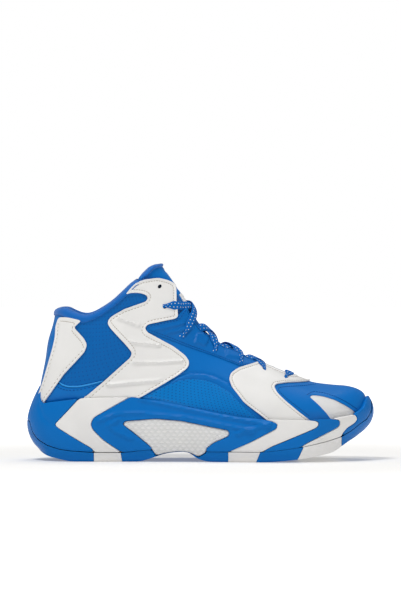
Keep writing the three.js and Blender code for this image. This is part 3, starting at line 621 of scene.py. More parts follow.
@dataclass(frozen=True)
class Finish:
    """A material and the record slot it stands for."""

    name: str
    slot: str
    colour: tuple[float, float, float]
    roughness: float
    pattern: Pattern = Pattern.SMOOTH
    scale: float = 900.0
    depth: float = 0.00006
    coat: float = 0.0
    sheen: float = 0.0
    marks: tuple[float, float, float] = (0.0, 0.03, 0.16)
    shine: float = 0.12

    def material(self) -> bpy.types.Material:
        """Makes the material once and returns it after that."""
        kept = bpy.data.materials.get("finish_" + self.name)
        if kept:
            return kept
        made = bpy.data.materials.new("finish_" + self.name)
        made.use_nodes = True
        w = Shader(made.node_tree)
        where = w.node("ShaderNodeTexCoord").outputs["Object"]
        uv = w.node("ShaderNodeUVMap", uv_map="flat").outputs[0]
        height, cloud, colour = self._surface(w, where, uv)
        tint = w.maths("MULTIPLY_ADD", cloud, TINT_SPREAD, 1 - TINT_SPREAD / 2)
        toned = w.node("ShaderNodeVectorMath", {0: colour, 1: tint}, operation="MULTIPLY")
        bump = w.node("ShaderNodeBump", {"Height": height, "Distance": self.depth, "Strength": 1.0})
        rough = w.maths("MULTIPLY_ADD", cloud, ROUGH_SPREAD, self.roughness - ROUGH_SPREAD / 2)
        shade = w.node("ShaderNodeBsdfPrincipled", {
            "Base Color": toned.outputs[0], "Roughness": rough, "Normal": bump.outputs[0],
            "Coat Weight": self.coat, "Coat Roughness": 0.25, "Sheen Weight": self.sheen,
            "Specular IOR Level": self.shine})
        w.node("ShaderNodeOutputMaterial", {"Surface": shade.outputs[0]})
        return made

    def _surface(self, w: Shader, where: bpy.types.NodeSocket, uv: bpy.types.NodeSocket
                 ) -> tuple[bpy.types.NodeSocket, ...]:
        """The parts of the material that the pattern decides.

        Args:
            w: Writer of the material's tree.
            where: Object coordinates.
            uv: The piece's flat coordinates.

        Returns:
            Height, cloud and colour.
        """
        base = w.node("ShaderNodeGroup", {"Vector": where, "Scale": self.scale},
                      node_tree=group_named("Grain"))
        plain = w.node("ShaderNodeRGB")
        plain.outputs[0].default_value = (*self.colour, 1)
        cloud = base.outputs["Cloud"]
        if self.pattern is Pattern.WEAVE:
            weave = w.node("ShaderNodeGroup", {"Vector": uv}, node_tree=group_named("Weave"))
            return weave.outputs[0], cloud, plain.outputs[0]
        if self.pattern in DOTS:
            pitch, radius = DOTS[self.pattern]
            dots = w.node("ShaderNodeGroup", {
                "Vector": uv, "Pitch": pitch, "Radius": radius,
                "Diamond": 1.0 if self.pattern is Pattern.KNURL else 0.0},
                node_tree=group_named("Lattice")).outputs[0]
            # perforated finishes: the darker marks colour in each dot is painted shade inside the
            # hole
            mixed = w.node("ShaderNodeMix", {"Factor": dots, 6: plain.outputs[0],
                                             7: (*self.marks, 1)}, data_type="RGBA")
            # knurl: the lighter marks colour lies on the raised diamonds and the grey base colour
            # in the grooves, as painted shade
            if self.pattern is Pattern.KNURL:
                return dots, cloud, mixed.outputs[2]
            height = w.maths("MULTIPLY_ADD", dots, -3.0, base.outputs["Height"])
            return height, cloud, mixed.outputs[2]
        if self.pattern is Pattern.GRAIN:
            return base.outputs["Height"], cloud, plain.outputs[0]
        return cloud, cloud, plain.outputs[0]


def group_named(name: str) -> bpy.types.NodeTree:
    """The shared effect with this name, made when it is first asked for.

    Args:
        name: Grain, Lattice or Weave.

    Returns:
        The node group.
    """
    kept = bpy.data.node_groups.get(name)
    if kept:
        return kept
    return {"Grain": grain_effect, "Lattice": lattice_effect, "Weave": weave_effect}[name]()


BLUE = (0.0002, 0.142, 0.48)
WHITE = (0.76, 0.752, 0.737)
BLUE_LEATHER = Finish("blue_leather", "blue_leather", BLUE, 0.42, Pattern.GRAIN, coat=0.06)
# lighter blue than the leather: a painted highlight along the seam bead
PIPING_HIGHLIGHT_LEATHER = Finish("piping_leather", "blue_leather", (0.03, 0.30, 0.72), 0.3, coat=0.3)
DEEP_LEATHER = Finish("deep_blue_leather", "blue_leather", (0.0002, 0.122, 0.42), 0.44,
                      Pattern.GRAIN, coat=0.04)
# the darker marks of the two perforated finishes below: painted shade inside the perforation holes
SIDE_LEATHER = Finish("perforated_leather", "blue_mesh", (0.0006, 0.175, 0.53), 0.32,
                      Pattern.PERFORATED, coat=0.12, marks=(0.001, 0.045, 0.2))
BLUE_TEXTILE = Finish("blue_textile", "blue_mesh", (0.0002, 0.115, 0.40), 0.5, Pattern.PERFORATED,
                      marks=(0.001, 0.07, 0.3))
WHITE_LEATHER = Finish("white_leather", "white_leather", WHITE, 0.36, Pattern.GRAIN,
                       depth=0.00004, coat=0.12)
WHITE_TEXTILE = Finish("white_textile", "white_mesh", (0.80, 0.80, 0.80), 0.6, Pattern.WEAVE,
                       depth=0.0002, sheen=0.2)
BLUE_RUBBER = Finish("blue_rubber", "blue_rubber", (0.0002, 0.150, 0.50), 0.42, Pattern.GRAIN,
                     scale=1500.0, depth=0.00003)
WHITE_RUBBER = Finish("white_rubber", "white_rubber", (0.80, 0.79, 0.78), 0.45)
WHITE_FOAM = Finish("white_foam", "white_foam", (0.78, 0.77, 0.755), 0.42)
# grey base colour between the lighter diamond marks: painted shade in the knurl grooves
KNURLED_FOAM_GROOVE_SHADE = Finish("knurled_foam", "white_foam", (0.70, 0.70, 0.69), 0.45, Pattern.KNURL,
                      depth=0.0004, marks=(0.78, 0.775, 0.765))
LINING_CLOTH = Finish("lining_cloth", "lining_fabric", (0.0010, 0.105, 0.39), 0.8, Pattern.WEAVE,
                      depth=0.00025, sheen=0.3)
BINDING_CLOTH = Finish("binding_cloth", "lining_fabric", (0.0010, 0.115, 0.43), 0.62,
                       Pattern.GRAIN, sheen=0.2)
LACE_CLOTH = Finish("lace_cloth", "lace_cord", (0.0002, 0.115, 0.42), 0.65, Pattern.FLECKED,
                    depth=0.0002, marks=(0.62, 0.70, 0.80))
WHITE_THREAD = Finish("white_thread", "lace_cord", (0.42, 0.38, 0.33), 0.7)
BLUE_THREAD = Finish("blue_thread", "lace_cord", (0.0015, 0.055, 0.24), 0.7)
BOARD = Finish("board", "stiff_board", (0.0002, 0.13, 0.45), 0.6)
# near-black discs at the eyelets: painted shade inside the holes
HOLE_SHADE = Finish("eyelet_hole", "stiff_board", (0.004, 0.008, 0.02), 0.7)


# ------------------------------------------------------------------ making pieces
Relief = Callable[[np.ndarray], np.ndarray]


def new_piece(name: str, points: np.ndarray, faces: Iterable[Sequence[int]],
              uv: Optional[np.ndarray] = None,
              outward: Optional[np.ndarray] = None) -> bpy.types.Object:
    """A mesh object from pattern points.

    Args:
        name: Name of the piece.
        points: Rows of x, y and z in pattern millimetres.
        faces: Corner numbers of each face.
        uv: Flat coordinates in millimetres, one row per point.
        outward: Outward directions, one row per point, that decide which way faces turn.

    Returns:
        The new object, selected and active.
    """
    mesh = bpy.data.meshes.new(name)
    mesh.from_pydata(placed(points).tolist(), [], [list(f) for f in faces])
    if outward is not None:
        turned = sum(p.normal.dot(Vector(outward[p.vertices[0]])) * p.area for p in mesh.polygons)
        if turned < 0:
            mesh.flip_normals()
    if uv is not None:
        layer = mesh.uv_layers.new(name="flat")
        which = np.empty(len(mesh.loops), int)
        mesh.loops.foreach_get("vertex_index", which)
        layer.data.foreach_set("uv", (np.asarray(uv)[which] * MM).ravel())
    made = bpy.data.objects.new(name, mesh)
    bpy.context.collection.objects.link(made)
    for other in bpy.context.selected_objects:
        other.select_set(False)
    made.select_set(True)
    bpy.context.view_layer.objects.active = made
    return made


def apply_modifier(piece: bpy.types.Object, kind: str, **settings: object) -> None:
    """Adds a modifier to the active piece and applies it.

    Args:
        piece: The active piece.
        kind: The modifier's type.
        **settings: Its settings.
    """
    made = piece.modifiers.new(kind.title(), kind)
    for key, value in settings.items():
        setattr(made, key, value)
    bpy.ops.object.modifier_apply(modifier=made.name)


def weld(threshold: float) -> None:
    """Joins points of the active piece that coincide, and turns its faces outwards.

    Args:
        threshold: Distance in metres at which points count as one.
    """
    bpy.ops.object.mode_set(mode="EDIT")
    bpy.ops.mesh.select_all(action="SELECT")
    bpy.ops.mesh.remove_doubles(threshold=threshold)
    bpy.ops.mesh.normals_make_consistent(inside=False)
    bpy.ops.object.mode_set(mode="OBJECT")


def thicken(piece: bpy.types.Object, thickness: float, edge: float, segments: int = 3) -> None:
    """Gives a surface its thickness, inwards, and eases its edges.

    Args:
        piece: The active piece.
        thickness: Millimetres.
        edge: Width of the eased edge in millimetres, or 0.
        segments: Rows of faces across the eased edge.
    """
    apply_modifier(piece, "SOLIDIFY", thickness=thickness * MM, offset=-1.0, use_even_offset=False)
    if edge:
        apply_modifier(piece, "BEVEL", width=edge * MM, segments=segments, limit_method="ANGLE",
                       angle_limit=math.radians(52), use_clamp_overlap=True)


def dress(piece: bpy.types.Object, finish: Finish, body: str = SHOE, stands_for: Sequence[str] = (),
          smooth: float = 40.0) -> bpy.types.Object:
    """Finishes the active piece: smooth shading, material and body.

    Args:
        piece: The active piece.
        finish: Its material.
        body: Body that it rides on.
        stands_for: CAD nodes that it stands for.
        smooth: Angle in degrees under which an edge is shaded smooth.

    Returns:
        The same piece.
    """
    bpy.ops.object.shade_smooth_by_angle(angle=math.radians(smooth))
    piece.data.materials.clear()
    piece.data.materials.append(finish.material())
    if stands_for:
        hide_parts(*stands_for)
    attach(piece, body)
    log.info("%s: %d faces", piece.name, len(piece.data.polygons))
    return piece


def ridge(line: Outline, height: float, width: float) -> Relief:
    """A raised line, or a groove where the height is negative, that fades at its sides."""
    path = np.asarray(line, float)
    return lambda xz: height * np.exp(-(edge_distance(xz, path, False) / width) ** 2)


def plateau(outline: Outline, height: float, slope: float) -> Relief:
    """A raised area with sloped sides.

    Args:
        outline: Its outline in the side view.
        height: How far it stands up.
        slope: Width of its sloped sides.

    Returns:
        The relief.
    """
    shape = rounded(outline, 2.0)

    def lift(xz: np.ndarray) -> np.ndarray:
        """Heights at side-view points."""
        share = np.clip(edge_distance(xz, shape) / slope, 0, 1)
        return np.where(inside(xz, shape), height * share * share * (3 - 2 * share), 0.0)
    return lift


def total(reliefs: Sequence[Relief], xz: np.ndarray) -> np.ndarray:
    """The sum of several reliefs."""
    return sum((lift(xz) for lift in reliefs), np.zeros(len(xz)))


class Fold(Enum):
    """Whether a pattern lies on one side or folds over the middle of the shoe."""

    NONE = 0
    FRONT = 1
    BACK = 2


@dataclass
class Panel:
    """A flat pattern wrapped round the lasted form."""

    name: str
    outline: Outline
    finish: Finish
    rise: float = 1.9
    thickness: float = 1.5
    spacing: float = 2.6
    corner: float = 3.0
    edge: float = 0.5
    reliefs: tuple[Relief, ...] = ()
    holes: tuple[Outline, ...] = ()
    fold: Fold = Fold.NONE
    stitch: float = 0.0  # how far inside the edge the stitches run, or 0
    thread: Optional[Finish] = None
    rim: float = 0.0  # how far the edge stands up round the piece
    body: str = SHOE

    def _to_flat(self, outline: Outline, closed: bool, side: Side) -> np.ndarray:
        """Flat coordinates of a side-view outline, folded over where the pattern folds.

        Args:
            outline: Corner points in the side view.
            closed: Whether the outline joins up.
            side: The half of the shoe.

        Returns:
            A closed outline.
        """
        eased = resample(rounded(outline, self.corner, closed), OUTLINE_STEP, closed)
        flat = FORM.spread(eased)
        if self.fold is Fold.NONE or closed:
            if self.fold is Fold.BACK and side is Side.INNER:
                flat[:, 1] = 2 * FORM.half_turn - flat[:, 1]
            else:
                flat[:, 1] *= side.value
            return resample(flat, EDGE_STEP, True)
        middle = 0.0 if self.fold is Fold.FRONT else FORM.half_turn
        flat[[0, -1], 1] = middle
        other = flat[::-1].copy()
        other[:, 1] = 2 * middle - other[:, 1]
        return resample(np.vstack([flat, other[1:-1]]), EDGE_STEP, True)

    def side_view(self, flat: np.ndarray) -> np.ndarray:
        """Side-view x and z of flat points."""
        return FORM.point(*FORM.unflat(flat))[:, [0, 2]]

    def surface(self, flat: np.ndarray, extra: float = 0.0) -> np.ndarray:
        """Points of the outer face.

        Args:
            flat: Flat coordinates.
            extra: Distance outside the face.

        Returns:
            Rows of x, y and z.
        """
        view = self.side_view(flat)
        lift = self.rise + extra + total(self.reliefs, view)
        if self.body == SHOE:
            bite = np.interp(view[:, 0], *np.array(BITELINE).T)
            sunk = np.clip((bite - view[:, 1] + BITE_LEAD) / BITE_FADE, 0, 1)
            lift = lift - np.interp(view[:, 0], TUCK_X, (TUCK_DEPTH, 0.0)) * sunk
        if self.rim:
            near = edge_distance(flat, self._edge)
            lift = lift + self.rim * np.exp(-(near / 1.5) ** 4)
            lift = lift - self.rim * 0.7 * np.exp(-((near - self.stitch) / 0.55) ** 2)
        return FORM.shell(flat, lift)

    def outward(self, flat: np.ndarray) -> np.ndarray:
        """Outward directions of the outer face."""
        return FORM.facing(flat)

    def build(self, side: Side, stands_for: Sequence[str] = ()) -> bpy.types.Object:
        """Builds the piece for one side, or for both where the pattern folds.

        Args:
            side: The half of the shoe.
            stands_for: CAD nodes that it stands for.

        Returns:
            The finished piece.
        """
        closed = self.fold is Fold.NONE
        loop = self._to_flat(self.outline, closed, side)
        sides = [side] if closed else list(Side)
        holes = [self._to_flat(hole, True, s) for hole in self.holes for s in sides]
        self._edge = resample(loop, 2.0, True)
        depths = (1.3, 2.0, self.stitch, 3.2) if self.rim else ()
        rows = [inset(loop, depth) for depth in depths]
        rows = [row[edge_distance(row, loop) > d * 0.97] for row, d in zip(rows, depths)]
        flat, faces = fill_outline(loop, self.spacing, holes, rows)
        name = f"{self.name}_{side.word}" if closed else self.name
        piece = new_piece(name + "_skin", self.surface(flat), faces, flat, self.outward(flat))
        thicken(piece, self.thickness, self.edge)
        dress(piece, self.finish, self.body, stands_for)
        if self.stitch:
            self.sew(name, loop)
        return piece

    def sew(self, name: str, loop: np.ndarray) -> None:
        """Runs stitches inside the edge of the piece.

        Args:
            name: Name of the piece without its ending.
            loop: Its outline in flat coordinates.
        """
        line = inset(loop, self.stitch)
        line = line[edge_distance(line, loop) > self.stitch * 0.93]
        if self.fold is Fold.FRONT:
            line = line[np.abs(line[:, 1]) > 4.0]
        stitches(name + "_stitches", line, lambda flat: self.surface(flat, 0.06), self.outward,
                 self.thread or WHITE_THREAD, self.finish.slot, self.body)


def inset(loop: np.ndarray, distance: float) -> np.ndarray:
    """A closed outline moved inwards.

    Args:
        loop: The outline.
        distance: How far it moves.

    Returns:
        Loose points in order.
    """
    slope = np.roll(loop, -1, axis=0) - np.roll(loop, 1, axis=0)
    slope = unit(slope)
    inward = np.column_stack([-slope[:, 1], slope[:, 0]])
    x, y = loop[:, 0], loop[:, 1]
    area = np.sum(x * np.roll(y, -1) - y * np.roll(x, -1))
    return loop + inward * distance * (1 if area > 0 else -1)


def stitches(name: str, line: np.ndarray, surface: Callable[[np.ndarray], np.ndarray],
             outward: Callable[[np.ndarray], np.ndarray], finish: Finish, slot: str,
             body: str = SHOE, pitch: float = 2.7, length: float = 1.9,
             radius: float = 0.28) -> None:
    """A row of thread stitches that lie on a surface.

    Args:
        name: Name of the piece.
        line: Flat points in order; wide breaks are left open.
        surface: Turns flat points into points of the surface.
        outward: Turns flat points into outward directions.
        finish: The thread.
        slot: Record slot.
        body: Body that it rides on.
        pitch: Distance between stitches.
        length: Length of a stitch.
        radius: Half its width.
    """
    step = np.linalg.norm(np.diff(line, axis=0), axis=1)
    joined = step < STITCH_BREAK
    run = np.concatenate([[0], np.cumsum(np.where(joined, step, 0))])
    at = np.arange(pitch, run[-1], pitch)
    centre = np.column_stack([np.interp(at, run, line[:, c]) for c in (0, 1)])
    ahead = np.column_stack([np.interp(at + 0.4, run, line[:, c]) for c in (0, 1)])
    origin, front, up = surface(centre), surface(ahead), outward(centre)
    along = front - origin
    along = unit(along)
    across = np.cross(up, along)
    ring = [(math.cos(a), math.sin(a)) for a in np.arange(6) * math.pi / 3]
    shape = [(-0.5 * length, 0, 0), *((-0.3 * length, radius * c, radius * s) for c, s in ring),
             *((0.3 * length, radius * c, radius * s) for c, s in ring), (0.5 * length, 0, 0)]
    local = np.array(shape)
    points = (origin[:, None] + along[:, None] * local[None, :, :1]
              + across[:, None] * local[None, :, 1:2] + up[:, None] * local[None, :, 2:])
    faces = []
    for j in range(6):
        k = (j + 1) % 6
        faces += [(0, 1 + k, 1 + j), (1 + j, 1 + k, 7 + k, 7 + j), (13, 7 + j, 7 + k)]
    count = len(local)
    every = [tuple(i * count + c for c in f) for i in range(len(origin)) for f in faces]
    piece = new_piece(name, points.reshape(-1, 3), every)
    dress(piece, Finish(finish.name, slot, finish.colour, finish.roughness), body)


@dataclass
class WallPanel(Panel):
    """A pattern wrapped round the side of the sole."""

    rise: float = 0.0
    thickness: float = 4.0
    edge: float = 0.8
    corner: float = 2.5

    def _to_flat(self, outline: Outline, closed: bool, side: Side) -> np.ndarray:
        """Flat coordinates: distance round the plan, and height.

        Args:
            outline: Corner points in the side view.
            closed: Whether the outline joins up.
            side: The half of the shoe.

        Returns:
            A closed outline.
        """
        eased = resample(rounded(outline, self.corner, closed), OUTLINE_STEP, closed)
        if self.fold is Fold.NONE:
            share = WALL.locate(eased, side)
            return resample(np.column_stack([share * WALL.length, eased[:, 1]]), EDGE_STEP, True)
        share = WALL.locate(eased, Side.OUTER)
        middle = 0.5 if self.fold is Fold.FRONT else 0.0
        share[[0, -1]] = middle
        flat = np.column_stack([share, eased[:, 1]])
        other = flat[::-1].copy()
        inner = WALL.locate(eased, Side.INNER)[::-1]
        inner[[0, -1]] = -middle
        other[:, 0] = inner + (1.0 if self.fold is Fold.FRONT else 0.0)
        both = np.vstack([flat, other[1:-1]]) * [WALL.length, 1]
        return resample(both, EDGE_STEP, True)

    def _points(self, flat: np.ndarray, rise: np.ndarray | float) -> np.ndarray:
        """Points of the wall at flat coordinates."""
        return WALL.point(flat[:, 0] / WALL.length, flat[:, 1], rise)

    def surface(self, flat: np.ndarray, extra: float = 0.0) -> np.ndarray:
        """Points of the outer face."""
        xz = self._points(flat, 0.0)[:, [0, 2]]
        return self._points(flat, self.rise + extra + total(self.reliefs, xz))

    def outward(self, flat: np.ndarray) -> np.ndarray:
        """Outward directions of the outer face."""
        out = self._points(flat, 1.0) - self._points(flat, 0.0)
        return unit(out)


@dataclass
class Loft:
    """A closed solid through rings of points."""

    name: str
    rings: np.ndarray  # rings, points in a ring, and x y z
    uv: Optional[np.ndarray] = None
    merge: float = 0.00003  # distance in metres at which points count as one

    def build(self) -> bpy.types.Object:
        """Makes the mesh with its ends filled and its faces turned outwards."""
        count, size = self.rings.shape[:2]
        faces = []
        for i in range(count - 1):
            k = i + 1
            for j in range(size):
                n = (j + 1) % size
                faces.append((i * size + j, i * size + n, k * size + n, k * size + j))
        faces.append(tuple(range(size))[::-1])
        faces.append(tuple((count - 1) * size + j for j in range(size)))
        piece = new_piece(self.name, self.rings.reshape(-1, 3), faces,
                          None if self.uv is None else self.uv.reshape(-1, 2))
        weld(self.merge)
        return piece


# ------------------------------------------------------------------ upper patterns (x, z)
BITELINE = (
    (0, 64), (10.6, 63.2), (12.4, 58.5), (13.8, 52.4), (17.1, 51.4), (32.6, 53.5), (51.6, 56),
    (91.1, 56.7), (117.3, 53.6), (142.9, 48), (165, 43.3), (187, 39.6), (207.5, 37.7),
    (243.9, 37), (268.7, 37.5), (286.5, 40.2), (296.5, 46.5), (299.3, 52),
)
PIPING = ((29.6, 69.4), (31.6, 67.6), (36.8, 65.6), (46.7, 65.7), (58, 68), (68, 70.6))
COLLAR_LINE = (
    (25.4, 131.8), (29.8, 133.2), (33.9, 133), (40.6, 130.3), (47.4, 127.8), (53, 127.3),
    (58.3, 128.8), (65, 132.2), (75.1, 138.9), (85.3, 147.7), (92, 153.8), (97.5, 158),
    (103.4, 159.6), (113.8, 160.3), (122.2, 157.6), (127.5, 154.6),
)
ZIGZAG = (
    (86, 145.7), (90.2, 150.8), (94.8, 155.4), (101.6, 158.3), (113.8, 159.5), (122.2, 157),
    (127.5, 154), (129.3, 150.8), (129.8, 138.6), (131.6, 124.6), (120.6, 122.6),
    (105.4, 119.6), (103.1, 116.5), (105.4, 112.7), (128.2, 99.8), (138.9, 91.4), (142.3, 86.1),
    (141.2, 81.5), (132.1, 74.7), (101.2, 56.8), (84, 46), (42, 46), (51.6, 56), (69, 70.7),
    (91.4, 90.9), (92.7, 94.9), (88.7, 100.3), (73.8, 116.6), (71.1, 121.3), (73.8, 126.1),
    (85.3, 132.9), (104.7, 139.3), (106.2, 142.4), (103.9, 145.4), (97.8, 147.4), (90.2, 147.4),
)
ZIGZAG_RIBS = (
    ((80.5, 125.4), (89, 122.4), (98, 119.6)), ((91, 105.3), (103, 103.2), (116.4, 101.6)),
    ((93.5, 87), (115, 86.2), (136, 86.8)), ((72, 67.4), (92, 69.2), (116, 70.8)),
)
HEEL_OVERLAY = (
    (31, 125.4), (36, 125.8), (42, 125), (49, 123.2), (42.4, 117.4), (51.4, 107.1), (53.8, 101.7),
    (51.4, 95.6), (33.9, 76.3), (18.3, 53), (14, 43), (8.4, 43), (9.8, 49), (13, 57), (16.8, 68.2),
    (21.4, 84.1), (25, 97.6), (27.4, 108), (28.4, 118),
)
ANKLE_QUARTER = (
    (37, 130.6), (40.6, 129.6), (47.4, 127), (53, 126.6), (58.3, 128), (65, 131.4), (75.1, 138.1),
    (85.3, 147), (92, 153), (97.5, 157.4), (103.4, 159), (113.8, 159.6), (122.2, 157),
    (127.2, 154), (129, 150.8), (129.5, 138.6), (130.6, 126.4), (118, 125), (101, 121.6),
    (99.5, 115.6), (103, 109.5), (124, 97.6), (133, 91), (136, 86), (130, 79), (112, 72.6),
    (72, 72.4), (66.4, 70.2), (46.7, 65.6), (36.8, 65.3), (31.2, 67.4), (28.8, 69.2), (34, 82),
    (37, 95),
)
LOWER_QUARTER = (
    (28.4, 68.4), (31.2, 66.8), (36.8, 64.8), (46.7, 65.1), (66.4, 69.7), (74, 71.9), (84, 72.1),
    (92, 62), (84, 42), (60, 40), (20, 40), (9, 42), (12, 50), (20, 60),
)
BACKSTAY = ((25.2, 131.4), (29.8, 132.4), (36.6, 130.6), (36.6, 95), (33.6, 82), (28.2, 68.9),
            (19.6, 60), (11.6, 50), (8.6, 42), (2, 42))
SIDE_PANEL = (
    (92.6, 62.4), (112, 72), (130.4, 78.6), (136.5, 86), (133.4, 91.6), (124, 98.2), (103.4, 110),
    (100, 115.6), (101.6, 121), (118, 124.4), (130.8, 125.8),
)
SIDE_PANEL_LOW = ((205, 78), (212, 70), (234, 42), (240, 30), (200, 28), (120, 40), (85, 42))
PERFORATED = (
    (90, 42), (98, 53.4), (118, 64), (131.3, 70), (142.9, 71.9), (157.6, 70.4), (167.7, 66.2),
    (177.6, 60.4), (192, 46), (212, 30), (150, 34),
)
SEAM_UPPER = ((124, 69.4), (135.7, 75.4), (144.4, 77), (154.7, 76.7), (165, 74.1), (176, 69),
              (186, 60))
SEAM_BAND = ((128, 68.8), (133, 72), (144.4, 75), (156, 74.2), (166, 70.8), (178, 64.6), (190, 54))
EYESTAY_LOW = (
    (104.6, 113.4), (119.1, 108.3), (143.5, 98.5), (166.3, 90.1), (182, 84), (186.6, 81.8),
)
SADDLE_BACK = (
    (258, 28), (222, 28), (208.2, 38.5), (190.6, 51.7), (179.6, 64.9), (177.4, 71.5),
    (178.9, 75.9), (185.3, 80), (196.7, 82.9),
)
SADDLE_FRONT = (
    (256, 68.8), (253, 68.6), (249.6, 67.6), (240, 67.2), (226.7, 67.3), (217.6, 66.1),
    (216.1, 63.8), (219.1, 58.5), (226.7, 51.6), (245, 37.9),
)
TOE_CAP = (
    (246, 70), (240, 69.6), (226, 69.4), (214.6, 68), (212.6, 63), (216, 56.5), (224, 49),
    (241, 36), (250, 28), (268, 26), (285, 29), (294, 35), (296.6, 40), (297.5, 45),
)
WINDOW = (
    (247.2, 55.7), (250, 57.2), (259.6, 56), (269.2, 53.1), (278.8, 48.3), (286, 43.5),
    (291, 37.5), (284, 31), (268.7, 33), (262, 42), (254.9, 49.2),
)
WINDOW_UNDER = (
    (243.5, 56), (250, 60.5), (260.4, 59.2), (270.6, 56), (280.8, 51), (289, 45), (294, 37),
    (284, 28), (266, 30), (258.5, 40), (251.4, 47.4),
)
TOE_STITCHES = ((254.4, 65.4), (240, 64.4), (227, 64.4), (219.6, 63.2), (221.6, 59.6),
                (228.8, 53.4), (247, 40))
WINDOW_STITCHES = ((244.2, 56.6), (250.4, 59.8), (260, 58.4), (270, 55.4), (280, 50.6), (288, 45.4))
EYELETS = (
    (120.6, 134.7), (138.1, 111.5), (164.8, 97.2), (187.5, 86.6), (207.5, 78.8), (227, 72.2),
)
TOP_HOLE = (115.5, 152)
TONGUE_SIDE = (
    (117.8, 172.4), (113.5, 172.4), (110.9, 170), (104.4, 164), (100, 158), (108, 146),
    (118, 128), (136, 104), (160, 84), (200, 64), (238, 58), (240, 70.4),
)


def throat_line(start_x: float, end_x: float, half: float = 13.5, count: int = 40) -> np.ndarray:
    """Side-view points of the throat edge.

    Args:
        start_x: Where on the instep line it starts.
        end_x: Where on the instep line it ends.
        half: Half the width of the throat.
        count: Number of points.

    Returns:
        Rows of x and z.
    """
    u = np.linspace(0, len(SECTIONS) - 1, 800)
    rows = FORM.rows(u)
    at = np.interp(-np.linspace(start_x, end_x, count), -rows[:, 0], u)
    low, high = np.zeros(count), np.full(count, math.pi / 2)
    for _ in range(30):
        mid = (low + high) / 2
        near = np.abs(FORM.point(at, mid)[:, 1]) < half
        low, high = np.where(near, mid, low), np.where(near, high, mid)
    return FORM.point(at, low)[:, [0, 2]]


def level_line(line: np.ndarray) -> list[tuple[float, float]]:
    """Rows as plain pairs, so that patterns can be joined together."""
    return [tuple(map(float, row)) for row in line]


